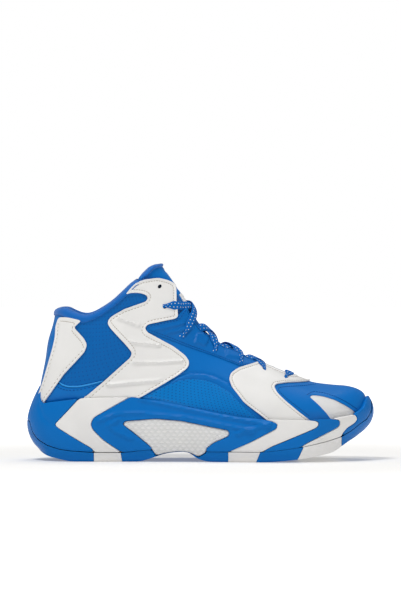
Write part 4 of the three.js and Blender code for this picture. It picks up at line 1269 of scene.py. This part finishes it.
@dataclass
class Upper:
    """Everything above the sole that is cut from sheet material."""

    throat_front: float = 236.0
    piping_radius: float = 0.62
    piping_rise: float = 1.95
    seam_rise: float = 1.78

    def patterns(self) -> list[tuple[Panel, tuple[str, ...]]]:
        """The panels that are cut for each side."""
        edge = level_line(throat_line(143.5, 205.0))
        rib = [ridge(line, 2.1, 1.3) for line in ZIGZAG_RIBS]
        wedge = [ridge(((111, 114.6), (124, 117), (136, 119.6)), 1.2, 1.3),
                 ridge(((123, 111.6), (134, 114), (144, 116)), 1.2, 1.3),
                 plateau(((147.6, 111.5), (161, 109.4), (156.5, 98.3), (145.4, 101.2)), 1.3, 1.2),
                 plateau(((174.5, 98.6), (186.3, 94), (187.4, 87), (173, 89.4)), 1.3, 1.2)]
        fold = [ridge(SEAM_UPPER, -0.9, 0.9), ridge(SEAM_BAND, 1.3, 1.5)]
        return [
            (Panel("ankle_quarter", ANKLE_QUARTER, BLUE_TEXTILE, 1.6, 1.5), ("ankle_quarter",)),
            (Panel("lower_quarter", LOWER_QUARTER, BLUE_LEATHER, 1.7, 1.6, stitch=1.8,
                   thread=BLUE_THREAD), ("lower_quarter",)),
            (Panel("side_panel", SIDE_PANEL + tuple(edge) + SIDE_PANEL_LOW, BLUE_LEATHER, 1.6, 1.5,
                   spacing=1.6, reliefs=tuple(fold)), ("side_panel",)),
            (Panel("side_perforated", PERFORATED, SIDE_LEATHER, 2.3, 0.6, edge=0.25,
                   reliefs=(ridge(((120, 52), (160, 50), (196, 42)), 0.5, 9),)), ()),
            (Panel("eyestay", tuple(edge) + ((198, 82.2), (190, 82.2)) + EYESTAY_LOW[::-1]
                   + ((105.8, 119.2), (121, 122.1), (132.2, 124.2)), DEEP_LEATHER, 2.5, 0.85,
                   spacing=1.6, corner=1.2, reliefs=tuple(wedge), stitch=1.5, thread=BLUE_THREAD),
             ("eyestay",)),
            (Panel("ankle_zigzag", ZIGZAG, WHITE_LEATHER, 2.8, 1.15, spacing=1.5,
                   reliefs=tuple(rib), stitch=2.6, rim=0.45), ("ankle_zigzag",)),
            (Panel("heel_overlay", HEEL_OVERLAY, WHITE_LEATHER, 2.8, 1.15, corner=2.0,
                   stitch=2.6, rim=0.45), ("heel_overlay",)),
            (Panel("toe_window", WINDOW_UNDER, WHITE_TEXTILE, 0.95, 0.7), ("toe_window",)),
        ]

    def build(self) -> None:
        """Builds the panels of both sides and those that fold over the middle."""
        for side in Side:
            for panel, nodes in self.patterns():
                panel.build(side, [f"{node}_{side.word}" for node in nodes])
            self._extra_stitches(side)
            self._piping(side)
        Panel("backstay", BACKSTAY, BLUE_LEATHER, 1.6, 1.5, fold=Fold.BACK).build(
            Side.OUTER, ["backstay"])
        Panel("toe_cap", TOE_CAP, BLUE_LEATHER, 1.7, 0.7, fold=Fold.FRONT, holes=(WINDOW,)).build(
            Side.OUTER, ["toe_cap"])
        edge = level_line(throat_line(203.5, self.throat_front - 5))
        saddle = SADDLE_FRONT + SADDLE_BACK + tuple(edge) + (
            tuple(level_line(throat_line(self.throat_front - 2, self.throat_front - 1, 7.0, 2))))
        Panel("saddle", saddle + ((self.throat_front, 72.4),), WHITE_LEATHER, 2.8, 1.15,
              spacing=2.0, fold=Fold.FRONT, stitch=2.6, rim=0.45).build(Side.OUTER, ["saddle"])

    def _piping(self, side: Side) -> None:
        """A thin bead in the seam between the ankle quarter and the lower quarter, coloured a
        lighter blue than the leather as a painted highlight.

        Args:
            side: The half of the shoe.
        """
        line = resample(rounded(PIPING, 3.0, False), 1.0, False)
        flat = FORM.spread(line) * [1, side.value]
        turn = circle(8)
        rings = []
        for i, at in enumerate(flat):
            size = self.piping_radius * math.sqrt(min(1.0, (min(i, len(flat) - 1 - i) + 0.5) / 3))
            around = at + np.column_stack([size * np.cos(turn), np.zeros(8)])
            rings.append(FORM.shell(around, self.piping_rise + size * np.sin(turn)))
        piece = Loft(f"seam_piping_{side.word}", np.array(rings)).build()
        dress(piece, PIPING_HIGHLIGHT_LEATHER)

    def _extra_stitches(self, side: Side) -> None:
        """Stitch rows that follow an overlay on the blue leather beside it.

        Args:
            side: The half of the shoe.
        """
        for name, line in (("toe_seam", TOE_STITCHES), ("window_seam", WINDOW_STITCHES)):
            eased = rounded(line, 3.0, False)
            flat = FORM.spread(resample(eased, OUTLINE_STEP, False)) * [1, side.value]
            stitches(f"{name}_{side.word}", flat,
                     lambda f: FORM.shell(f, self.seam_rise),
                     FORM.facing, BLUE_THREAD, "blue_leather")


# ------------------------------------------------------------------ sole patterns (x, z)
HEEL_CUP = (
    (11.9, 65.2), (12.4, 65), (12.6, 61), (11.4, 55), (12, 50.2), (17.1, 51.4), (32.6, 53.5),
    (46, 55.3), (35, 43.5), (26.4, 34.4), (25, 32.5), (26, 30.8), (29.1, 28.5), (44, 19.4),
    (57.3, 11.6), (59.4, 8.3), (39.6, 9.5), (29.1, 10.9), (18.5, 14.1), (10, 19.1), (5.1, 25.4),
    (2.3, 35.2), (0, 35.2),
)
HEEL_STRIPE = (
    (46.6, 55.2), (35.4, 43.2), (26.8, 34.2), (25.4, 32.5), (26.4, 31), (29.3, 28.8), (44.2, 19.7),
    (57.6, 11.9), (60, 8.3), (83.6, 8.3), (67.6, 19.2), (58.4, 28.3), (56.6, 32.7), (59.1, 38.6),
    (75.8, 48.2), (90.8, 56.6), (70, 56.4), (51.6, 56),
)
ARCH_FRAME = (
    (92.5, 57), (99, 55.3), (117.3, 53.6), (142.9, 48), (165, 43.3), (187, 39.6), (207.5, 37.7),
    (214, 36.3), (219.6, 33.6), (218.3, 29.7), (196.2, 18), (177, 9.2), (157.5, 9.2),
    (157.6, 11.4), (163.5, 16.5), (176.7, 22.4), (178.1, 25.3), (176.7, 28.3), (165, 30.5),
    (135.7, 36.3), (113.7, 38.2), (99, 37), (86, 35.9), (84.4, 32.7), (96, 23.6), (107.8, 13.7),
    (111, 10.9), (84.1, 8.4), (67.8, 19.4), (58.7, 28.5), (56.9, 32.7), (59.4, 38.4), (76, 48),
)
ARCH_CREASES = (
    ((99, 55), (140, 46.4), (180, 39), (212, 33.6)), ((64, 36), (78, 42), (98, 43), (140, 39),
                                                     (176, 32), (200, 28)),
    ((184, 25), (202, 31), (214, 34.8)), ((92, 20.4), (76, 28), (72, 32), (82, 37.6)),
)
ARCH_PANEL = (
    (84.9, 32.7), (86.4, 35.5), (99, 36.6), (113.7, 37.8), (135.6, 35.9), (164.9, 30.1),
    (176.4, 27.9), (177.6, 25.3), (176.4, 22.8), (163.2, 16.8), (157.2, 11.7), (156.8, 8.4),
    (150.5, 4.4), (142, 8.7), (131, 9.1), (121, 7.6), (113.7, 5.4), (108.1, 14), (96.3, 23.9),
)
BALL_STRIPE = (
    (177.2, 9.2), (196.4, 17.8), (218.6, 29.5), (220, 33.6), (214.2, 36.6), (207.5, 38),
    (243.9, 37.2), (253.2, 36.1), (255.6, 34.1), (254, 30.8), (243.8, 26.4), (214.4, 14.3),
    (205.6, 9.2),
)
BALL_CHEVRON = (
    (206.2, 9.2), (214.7, 13.8), (244.1, 25.9), (254.5, 30.3), (256.4, 34.1), (253.6, 36.6),
    (243.9, 37.3), (268.1, 37.6), (273, 36.5), (274.3, 34.1), (273, 30.8), (258.4, 23.5),
    (245.9, 17.5), (239, 13.2), (222, 10.8),
)
TOE_STRIPE = (
    (239.7, 13.3), (246.3, 17), (258.8, 23), (273.4, 30.3), (275.1, 34.1), (273.4, 37),
    (268.7, 37.8), (286.5, 40.4), (287.6, 40.6), (290, 37), (287.6, 33.7), (280.3, 29.3),
    (276.6, 24.8), (275.5, 21.8), (262.2, 18), (252, 15.8),
)
TOE_SIDE = (
    (277.1, 24.5), (280.7, 28.7), (288, 33.1), (290.8, 37), (288.2, 41), (296.5, 46.7),
    (299.2, 56.2), (301.6, 56.2), (303, 50), (302, 42.7), (298.6, 36.6), (292.8, 33.1), (284, 26.5),
    (277.4, 23),
)
SOLE_BOTTOM = (
    (-4, 26), (0.9, 25), (3, 19.4), (6.5, 13.7), (11.5, 8.8), (18.5, 4.9), (29, 2.2), (40, 0.1),
    (98, 0.1), (106, 1.9), (113.7, 4.6), (121, 7), (131, 8.6), (142, 8.2), (150, 3), (161, 0.1),
    (210, 0.1), (240, 3), (252.5, 5.2), (262, 7.1), (269.2, 9.5), (276, 13.4), (281.6, 16.9),
    (288.4, 20.5), (294.6, 24.3), (299.8, 29.2), (302.8, 33.9), (304.6, 38.3), (306, 40),
)
PARTING_LINE = (
    (-1, 34.8), (2.3, 34.8), (5.1, 25), (10, 18.7), (18.5, 13.7), (29.1, 10.5), (39.6, 9.1),
    (59.4, 7.9), (84, 7.9), (107.8, 10.4), (118, 11.8), (131, 12.6), (146, 11.6), (158, 8.8),
    (205, 8.8), (222, 10.4), (239.5, 13), (252, 15.4), (262.2, 17.6), (275.8, 21.4),
    (284.2, 26.1), (293, 32.7), (298.8, 36.2), (302.2, 42.5), (303.4, 50), (303.6, 56), (306, 56),
)


@dataclass
class Outsole:
    """Rubber blocks under the shoe, in two colours, with a herringbone tread."""

    joints: tuple[tuple[float, float], ...] = (
        (0.0, 0.0), (59.4, 59.4), (84.1, 82), (130, 130), (176.7, 176.7), (201, 206), (236, 242),
        (275.8, 275.8), (305.0, 305.0))
    names: tuple[str, ...] = ("heel", "heel_stripe", "heel_front", "ball_rear", "ball_stripe",
                              "ball_front", "toe_stripe", "toe")
    step: float = 1.3
    groove: float = 1.5
    pitch: float = 6.5
    bend: float = 13.0
    wall_rows: int = 8
    bottom_rows: int = 96

    def build(self) -> None:
        """Builds every block from the heel to the toe."""
        self.bottom = catmull(np.array(SOLE_BOTTOM, float), False, 6)
        for i, name in enumerate(self.names):
            start, end = np.array(self.joints[i]) + 0.12, np.array(self.joints[i + 1]) - 0.12
            count = max(4, int((end[0] - start[0]) / self.step))
            rings = [self._section(start + (end - start) * t, t, end[0] - start[0])
                     for t in np.linspace(0, 1, count)]
            piece = Loft(f"rubber_{name}", np.array(rings)).build()
            finish = WHITE_RUBBER if "stripe" in name else BLUE_RUBBER
            dress(piece, finish, SHOE, [f"outsole_{name}"], 35)

    def _section(self, joint: np.ndarray, share: float, length: float) -> np.ndarray:
        """One ring of a block: down the outer wall, across the tread and up the inner wall.

        Args:
            joint: Lengthwise place of the ring on the ground and on the wall.
            share: How far along the block the ring is.
            length: Length of the block.

        Returns:
            Rows of x, y and z.
        """
        low = max(float(np.interp(joint[0], self.bottom[:, 0], self.bottom[:, 1])), 0.0)
        parting = np.array(PARTING_LINE)
        high = max(float(np.interp(joint[1], parting[:, 0], parting[:, 1])), low + 1.0)
        z = np.linspace(high, low, self.wall_rows)
        x = np.interp(z, [0, self.bend], joint)
        walls = []
        for side in Side:
            xz = np.column_stack([x, z])
            recess = np.where(inside(xz, np.array(ARCH_PANEL)), -4.4, 0.0)
            walls.append(WALL.point(WALL.locate(xz, side), z, recess))
        outer, inner = walls
        t = np.linspace(0, 1, self.bottom_rows)[1:-1, None]
        under = outer[-1] * (1 - t) + inner[-1] * t
        edge = np.minimum(t, 1 - t)[:, 0] * abs(outer[-1, 1] - inner[-1, 1])
        ends = min(share, 1 - share) * length
        under[:, 2] += self._tread(under) * np.clip((edge - 4.0) / 1.2, 0, 1) * min(1.0, ends / 2)
        return np.vstack([outer, under, inner[::-1]])

    def _tread(self, points: np.ndarray) -> np.ndarray:
        """Depth of the herringbone grooves.

        Args:
            points: Rows of x, y and z on the underside.

        Returns:
            One depth per point.
        """
        zigzag = 4.0 * np.abs((points[:, 0] / 13.0) % 1 * 2 - 1)
        wave = ((points[:, 1] + zigzag) / self.pitch) % 1
        ring = np.clip((0.17 - np.abs(wave - 0.5)) / 0.06, 0, 1)
        flat = (points[:, 2] < 8.0).astype(float)
        return ring * self.groove * flat


@dataclass
class SoleSides:
    """Blue and white pieces round the side of the midsole."""

    def build(self) -> None:
        """Builds the heel cup, then the pieces of each side."""
        groove = ridge(((11, 49), (14, 40), (22, 32)), -0.6, 1.2)
        WallPanel("heel_cup", HEEL_CUP, BLUE_RUBBER, fold=Fold.BACK, reliefs=(groove,)).build(
            Side.OUTER, ["midsole_heel_cup"])
        crease = tuple(ridge(line, 1.6, 1.5) for line in ARCH_CREASES)
        for side in Side:
            for name, outline, finish, rise, reliefs, node in (
                    ("heel_stripe", HEEL_STRIPE, WHITE_FOAM, 0.0, (), "midsole_heel_stripe"),
                    ("arch_frame", ARCH_FRAME, BLUE_RUBBER, 0.4, crease, "midsole_arch_frame"),
                    ("arch_panel", ARCH_PANEL, KNURLED_FOAM_GROOVE_SHADE, -0.5, (), "arch_panel"),
                    ("ball_stripe", BALL_STRIPE, WHITE_FOAM, 0.0, (), "midsole_ball_stripe"),
                    ("ball_chevron", BALL_CHEVRON, BLUE_RUBBER, 0.0, (), "midsole_ball_chevron"),
                    ("toe_stripe", TOE_STRIPE, WHITE_FOAM, 0.0, (), "midsole_toe_stripe")):
                panel = WallPanel(f"sole_{name}", outline, finish, rise, reliefs=reliefs,
                                  spacing=1.8)
                panel.build(side, [f"{node}_{side.word}"])
            WallPanel("sole_toe", TOE_SIDE, BLUE_RUBBER, spacing=1.8).build(side, ["midsole_toe"])


# ------------------------------------------------------------------ collar, lining and tongue
BINDING_PROFILE = (  # depth below the collar line, distance outside the form
    (4.4, 1.75), (4.2, 2.5), (3, 2.9), (1.4, 2.7), (0.2, 1.6), (-0.5, 0), (-0.8, -2), (-0.7, -4.4),
    (0.2, -6.6), (2, -8), (4.4, -8.4), (5.2, -7), (5, -3), (4.6, 0),
)
PADDING_PROFILE = (
    (4.6, -2.5), (4.8, -7.6), (6.2, -9), (10, -9.9), (16, -9.9), (22, -9.4), (24, -8.8), (26, -9.2),
    (32, -8.4), (38, -5.8), (43, -2.9), (43.4, -2.5), (30, -2.45), (16, -2.45),
)


@dataclass
class Collar:
    """Rolled binding and soft padding round the ankle."""

    front_x: float = 98.5
    spacing: float = 1.8
    cloth: float = -2.4  # inner face of the lining, which stays whole where the sweep thins out
    fade: float = 14.0  # length over which the sweep thins out at each end

    def line(self, front_x: float) -> np.ndarray:
        """Flat points along the collar from the outer front round the heel to the inner front.

        Args:
            front_x: Where the line ends in front.

        Returns:
            Rows of flat coordinates.
        """
        half = catmull(np.array([p for p in COLLAR_LINE if p[0] <= front_x], float), False, 6)
        flat = FORM.spread(half)
        flat[0, 1] = FORM.half_turn
        other = flat[1:].copy()
        other[:, 1] = 2 * FORM.half_turn - other[:, 1]
        return resample(np.vstack([flat[::-1], other]), self.spacing, False)

    def sweep(self, name: str, profile: Outline, front_x: float,
              scale_end: float) -> bpy.types.Object:
        """A profile carried along the collar.

        Args:
            name: Name of the piece.
            profile: Closed rows of depth and distance outside the form.
            front_x: Where the sweep ends in front.
            scale_end: Share of the depth that is left at the two ends.

        Returns:
            The new solid.
        """
        line = self.line(front_x)
        slope = np.gradient(line, axis=0)
        for _ in range(6):
            slope[1:-1] = (slope[:-2] + 2 * slope[1:-1] + slope[2:]) / 4
        slope = unit(slope)
        down = np.column_stack([slope[:, 1], -slope[:, 0]])
        if down[len(down) // 2, 0] > 0:
            down = -down
        shape = catmull(np.array(profile, float), True, 3)
        away = np.minimum(np.arange(len(line)), np.arange(len(line))[::-1]) * self.spacing
        ease = scale_end + (1 - scale_end) * np.clip(away / self.fade, 0, 1) ** 0.6
        rings, uv = [], []
        for at, way, size in zip(line, down, ease):
            flat = at + way * shape[:, :1] * size
            rise = np.where(shape[:, 1] < self.cloth,
                            self.cloth + (shape[:, 1] - self.cloth) * size, shape[:, 1])
            rings.append(FORM.shell(flat, rise))
            uv.append(flat)
        return Loft(name, np.array(rings), np.array(uv)).build()

    def build(self) -> None:
        """Builds the padding, then the binding over its edge."""
        padding = self.sweep("ankle_padding", PADDING_PROFILE, 86.0, 0.5)
        dress(padding, LINING_CLOTH, SHOE, ["collar_padding"], 60)
        binding = self.sweep("collar_roll", BINDING_PROFILE, self.front_x, 0.85)
        dress(binding, BINDING_CLOTH, SHOE, ["collar_binding"], 60)


@dataclass
class Lining:
    """The sock-like lining and the sockliner under the foot."""

    thickness: float = 2.2
    merge: float = 0.0006  # distance in metres at which points of the two halves count as one
    bed_ends: tuple[float, float] = (1.2, 13.4)  # sections that the bed runs between
    bed_rows: int = 56
    bed_columns: int = 19
    bed_lift: float = 7.5
    bed_thickness: float = 4.2
    bed_clearance: float = 3.0
    bed_dish: float = 1.6

    def build(self) -> None:
        """Builds the lining in halves that are welded together, then the sockliner."""
        collar = list(COLLAR_LINE)
        front = level_line(throat_line(128.5, 234.0, 14.0))
        toe = [(236.0, 72.0), (260.0, 67.0), (280, 64.2), (293, 60.5), (297.5, 48.0)]
        outline = np.array(collar + front + toe, float)
        flat = FORM.spread(resample(outline, 1.5, False))
        bottom = FORM.half_turn
        start, end = flat[0].copy(), flat[-1].copy()
        start[1], end[1] = bottom, bottom
        ridge_rows = flat[:, 0] <= FORM.spread([(235.0, 72.5)])[0, 0]
        flat[ridge_rows, 1] = 0.0
        loop = resample(np.vstack([start, flat, end]), 2.4, True)
        points, faces = fill_outline(loop, 3.6)
        count = len(points)
        other = points * [1, -1]
        flat_all = np.vstack([points, other])
        every = faces + [tuple(count + c for c in f[::-1]) for f in faces]
        places = FORM.shell(flat_all, 0.1)
        piece = new_piece("sock_lining", places, every, flat_all, FORM.facing(flat_all))
        weld(self.merge)
        thicken(piece, self.thickness, 0)
        dress(piece, LINING_CLOTH, SHOE, ["vamp_lining", "quarter_lining_outer",
                                          "quarter_lining_inner", "heel_counter", "toe_puff"], 60)
        self._sockliner()

    def _sockliner(self) -> None:
        """Builds the removable foam bed."""
        rings = []
        for u in np.linspace(*self.bed_ends, self.bed_rows):
            row = FORM.rows(np.array([u]))[0]
            x, z, outer, inner, skew = row[2], row[3] + self.bed_lift, row[4], row[5], row[6]
            deep = abs(row[3] - row[1])
            along = 1 - 2 * 9.5 / max(deep, 20.0)
            reach = (1 - abs(along) ** 3) ** (1 / 3) * (1 + skew * along)
            half_out = max(outer * reach - self.bed_clearance, 1.0)
            half_in = max(inner * reach - self.bed_clearance, 1.0)
            t = np.linspace(-1, 1, self.bed_columns)
            y = np.where(t < 0, t * half_out, t * half_in)
            top = np.column_stack([np.full(len(t), x), y, z + self.bed_dish * np.abs(t) ** 3])
            rings.append(np.vstack([top, top[::-1] - [0, 0, self.bed_thickness]]))
        rings = np.array(rings)
        piece = Loft("foot_bed", rings, rings[:, :, :2]).build()
        dress(piece, LINING_CLOTH, SHOE, ["sockliner"], 50)


@dataclass
class Tongue:
    """Padded tongue with a rolled top edge and a plain tab."""

    roll_width: float = 2.6
    roll_depth: float = 4.3
    roll_rise: float = -5.2

    def build(self) -> None:
        """Builds the padded body, the roll at its top, and the tab."""
        body = Panel("tongue_pad", TONGUE_SIDE, BLUE_LEATHER, -2.6, 5.6, corner=4.0, edge=2.4,
                     fold=Fold.FRONT, body=TONGUE, reliefs=(
                         ridge(((133, 150), (136, 154)), -0.5, 1.4),
                         ridge(((118, 165), (131, 170)), -0.6, 1.0)))
        piece = body.build(Side.OUTER, ["tongue"])
        self._roll()
        self._tab()

    def _roll(self) -> None:
        """A soft roll along the top edge."""
        side = rounded(((119.2, 171.4), (116.5, 171.6), (112.6, 169.6), (106.6, 163.8),
                        (101.6, 158.8)), 3.0, False)
        flat = FORM.spread(side)
        flat[0, 1] = 0.0
        other = flat[1:] * [1, -1]
        line = resample(np.vstack([flat[::-1], other]), 1.6, False)
        rings = []
        for i, at in enumerate(line):
            ease = math.sqrt(min(1.0, (min(i, len(line) - 1 - i) + 0.6) / 4))
            turn = circle(14)
            wide, deep = self.roll_width * ease, self.roll_depth * ease
            spot = at + np.column_stack([wide * np.cos(turn), np.zeros(14)])
            rings.append(FORM.shell(spot, self.roll_rise + deep * np.sin(turn)))
        piece = Loft("tongue_roll", np.array(rings), np.array(rings)[:, :, :2]).build()
        dress(piece, BINDING_CLOTH, TONGUE, [], 60)

    def _tab(self) -> None:
        """A plain white tab sewn across the tongue."""
        half = level_line(throat_line(142.4, 137.4, 9.0, 12))
        rows = FORM.spread(half)
        flat = np.vstack([rows, (rows * [1, -1])[::-1]])
        points, faces = fill_outline(resample(flat, 1.2, True), 2.0)
        piece = new_piece("tongue_tab", FORM.shell(points, -1.9), faces, points,
                          FORM.facing(points))
        thicken(piece, 0.8, 0.25)
        dress(piece, WHITE_TEXTILE, TONGUE)


@dataclass
class Lace:
    """One flat lace through both rows of eyelets."""

    width: float = 7.6
    thickness: float = 1.5
    top: float = 3.4
    under: float = -3.2
    steps: int = 12

    def route(self) -> tuple[np.ndarray, np.ndarray]:
        """Points along the middle of the lace, each with the surface's outward direction."""
        u, angle = FORM.locate(np.array(EYELETS, float))
        last = len(u) - 1
        spots: list[tuple[float, float, float]] = []
        for start in (1, -1):
            side = start
            strand = [(u[last] - 0.1, angle[last] * 0.5 * side, 3.5),
                      (u[last], angle[last] * 0.96 * side, self.top),
                      (u[last], angle[last] * side, self.under),
                      (u[last - 1] - 0.3, angle[last - 1] * side, self.under - 0.8),
                      (u[last - 1], angle[last - 1] * side, self.under)]
            for near in range(last - 1, 0, -1):
                far, gap = near - 1, u[near - 1] - u[near]
                lift = -0.9 if start == 1 else 0.9
                quick = 1.0 if far else 0.66
                strand += [(u[near] + 0.02 * gap, angle[near] * 0.95 * side, self.top),
                           (u[near] + 0.22 * gap * quick, angle[near] * 0.62 * side,
                            self.top - 0.6),
                           (u[near] + 0.5 * gap * quick, angle[near] * 0.12 * side, lift + 0.6)]
                if far:
                    strand += [(u[near] + 0.72 * gap, -angle[far] * 0.36 * side, lift - 0.4),
                               (u[near] + 0.9 * gap, -angle[far] * 0.75 * side, self.under),
                               (u[far], -angle[far] * side, self.under)]
                else:
                    strand += [(u[near] + 0.56 * gap, -angle[far] * 0.4 * side, lift + 0.8),
                               (u[near] + 0.8 * gap, -angle[far] * 0.75 * side, self.top - 0.6),
                               (u[far], -angle[far] * 0.98 * side, self.top),
                               (u[far] + 0.03, -angle[far] * 1.04 * side, self.under),
                               (u[far] + 0.2, -angle[far] * 1.2 * side, self.under - 0.6)]
                side = -side
            spots = (strand[::-1] + [(u[last] - 0.16, 0.0, 3.4)]) if start == 1 else spots + strand
        path = catmull(np.array(spots), False, self.steps)
        at, turn, rise = path.T
        return FORM.skin(at, turn, rise), FORM.normal(at, turn)

    def build(self) -> float:
        """Builds the band and returns its length in metres."""
        line, up = self.route()
        run = lengths(line)
        at = np.arange(0, run[-1], 1.5)
        line = np.column_stack([np.interp(at, run, line[:, c]) for c in range(3)])
        up = np.column_stack([np.interp(at, run, up[:, c]) for c in range(3)])
        along = np.gradient(line, axis=0)
        along = unit(along)
        across = np.cross(along, up)
        across = unit(across)
        for i in range(1, len(across)):
            if across[i] @ across[i - 1] < 0:
                across[i] = -across[i]
        for _ in range(8):
            across[1:-1] = (across[:-2] + 2 * across[1:-1] + across[2:]) / 4
            across = unit(across)
        raised = np.cross(across, along)
        u, angle = FORM.locate(np.array(EYELETS, float))
        holes = np.vstack([FORM.skin(u, angle * side.value, 2.0) for side in Side])
        near = np.linalg.norm(line[:, None] - holes[None], axis=2).min(axis=1)
        across = across * (0.4 + 0.6 * np.clip((near - 1.5) / 6.5, 0, 1))[:, None]
        turn = circle(12)
        flatten = np.sign(np.cos(turn)) * np.abs(np.cos(turn)) ** 0.6 * self.width / 2
        height = np.sin(turn) * self.thickness / 2
        rings = (line[:, None] + across[:, None] * flatten[None, :, None]
                 + raised[:, None] * height[None, :, None])
        uv = np.stack([np.broadcast_to(at[:, None], (len(at), 12)),
                       np.broadcast_to(flatten[None], (len(at), 12))], axis=-1)
        piece = Loft("flat_lace", rings, uv).build()
        dress(piece, LACE_CLOTH, SHOE, ["lace"], 50)
        return float(run[-1]) * MM


@dataclass
class Eyelets:
    """Punched holes that the lace comes out of, and the spare hole above, each shown as a
    near-black disc of painted shade.
    """

    radius: float = 1.9
    profile: tuple[tuple[float, float], ...] = (  # share of the radius, and rise
        (0.05, 2.95), (0.75, 2.95), (1.0, 2.9), (1.05, 2.5), (0.05, 2.5))

    def build(self) -> None:
        """Builds a shallow disc with a rim at every hole."""
        turn = circle(16)
        ring = np.column_stack([np.cos(turn), np.sin(turn)])
        for side in Side:
            for number, spot in enumerate((*EYELETS, TOP_HOLE)):
                flat = FORM.spread([spot])[0] * [1, side.value]
                rings = [FORM.shell(flat + self.radius * wide * ring, rise)
                         for wide, rise in self.profile]
                piece = Loft(f"eyelet_{side.word}_{number + 1}", np.array(rings)).build()
                dress(piece, HOLE_SHADE, SHOE)


# ------------------------------------------------------------------ studio
@dataclass
class Studio:
    """Plain pale floor, soft lights and the camera."""

    distance: float = 5.0
    lens: float = 341.0
    elevation: float = 1.2
    aim_lift: float = 0.0535
    ambient: float = 0.30
    lamps: tuple[tuple[str, tuple[float, float, float], float, float], ...] = (
        ("key", (-0.55, -0.9, 1.9), 24.0, 0.5), ("fill", (1.3, -1.5, 0.7), 5.0, 1.2),
        ("top", (0.2, 0.5, 1.9), 10.0, 0.9))  # name, place, power and size
    lamp_aim: tuple[float, float, float] = (0, 0, 0.06)
    floor_size: float = 12.0

    def build(self) -> None:
        """Builds the floor, the lights, the world and the camera."""
        self._floor()
        for lamp in self.lamps:
            self._light(*lamp)
        world = bpy.data.worlds.new("studio")
        world.use_nodes = True
        w = Shader(world.node_tree)
        seen = w.node("ShaderNodeLightPath").outputs["Is Camera Ray"]
        power = w.maths("MULTIPLY_ADD", seen, 1.0 - self.ambient, self.ambient)
        back = w.node("ShaderNodeBackground", {"Color": (1, 1, 1, 1), "Strength": power})
        w.node("ShaderNodeOutputWorld", {"Surface": back.outputs[0]})
        bpy.context.scene.world = world
        aim = Vector((0.0, 0.0, (CAD_BOX[0][2] + CAD_BOX[1][2]) / 2 + self.aim_lift))
        rise = math.radians(self.elevation)
        bpy.ops.object.camera_add()
        camera = bpy.context.object
        camera.data.lens = self.lens
        camera.data.sensor_fit = "AUTO"
        camera.location = aim + Vector((0, -math.cos(rise), math.sin(rise))) * self.distance
        camera.rotation_euler = (aim - camera.location).to_track_quat("-Z", "Y").to_euler()
        bpy.context.scene.camera = camera
        bpy.context.scene.view_settings.view_transform = "Standard"

    def _floor(self) -> None:
        """A pale flat floor."""
        bpy.ops.mesh.primitive_plane_add(size=self.floor_size, location=(0, 0, 0))
        floor = bpy.context.object
        floor.name = "floor"
        made = bpy.data.materials.new("floor")
        made.use_nodes = True
        w = Shader(made.node_tree)
        where = w.node("ShaderNodeTexCoord").outputs["Object"]
        away = w.node("ShaderNodeVectorMath", {0: where}, operation="LENGTH").outputs["Value"]
        # the floor glows, weakly near the shoe and strongly far from it: painted light that keeps
        # the far floor white and leaves the contact shadow darker
        painted_glow = w.node("ShaderNodeMapRange", {"Value": away, "From Min": 0.18, "From Max": 0.8,
                                             "To Min": 0.22, "To Max": 0.95},
                      interpolation_type="SMOOTHSTEP").outputs[0]
        shade = w.node("ShaderNodeBsdfPrincipled", {
            "Base Color": (0.75, 0.74, 0.72, 1), "Roughness": 0.9, "Specular IOR Level": 0.1,
            "Emission Color": (1, 1, 1, 1), "Emission Strength": painted_glow})
        w.node("ShaderNodeOutputMaterial", {"Surface": shade.outputs[0]})
        floor.data.materials.append(made)

    def _light(self, name: str, place: tuple[float, float, float], power: float,
               size: float) -> None:
        """A large soft light aimed at the shoe.

        Args:
            name: Name of the light.
            place: Where it stands, in metres.
            power: Watts.
            size: Width in metres.
        """
        bpy.ops.object.light_add(type="AREA", location=place)
        lamp = bpy.context.object
        lamp.name = name
        lamp.data.energy = power
        lamp.data.size = size
        aim = Vector(self.lamp_aim) - Vector(place)
        lamp.rotation_euler = aim.to_track_quat("-Z", "Y").to_euler()


def hidden_parts() -> None:
    """Gives the frame's inner parts that stay in place their finishes."""
    for node, finish in (("strobel_board", BOARD), ("shank_plate", BOARD),
                         ("midsole_core", WHITE_FOAM)):
        kept = bpy.data.objects[node]
        kept.data.materials.clear()
        kept.data.materials.append(finish.material())


def main() -> None:
    """Builds the shoe from the ground up, then the studio."""
    logging.basicConfig(level=logging.INFO, format="%(name)s: %(message)s")
    Outsole().build()
    SoleSides().build()
    Lining().build()
    Upper().build()
    Collar().build()
    Tongue().build()
    log.info("lace length %.3f m", Lace().build())
    Eyelets().build()
    hidden_parts()
    Studio().build()


if __name__ == "__main__":
    main()
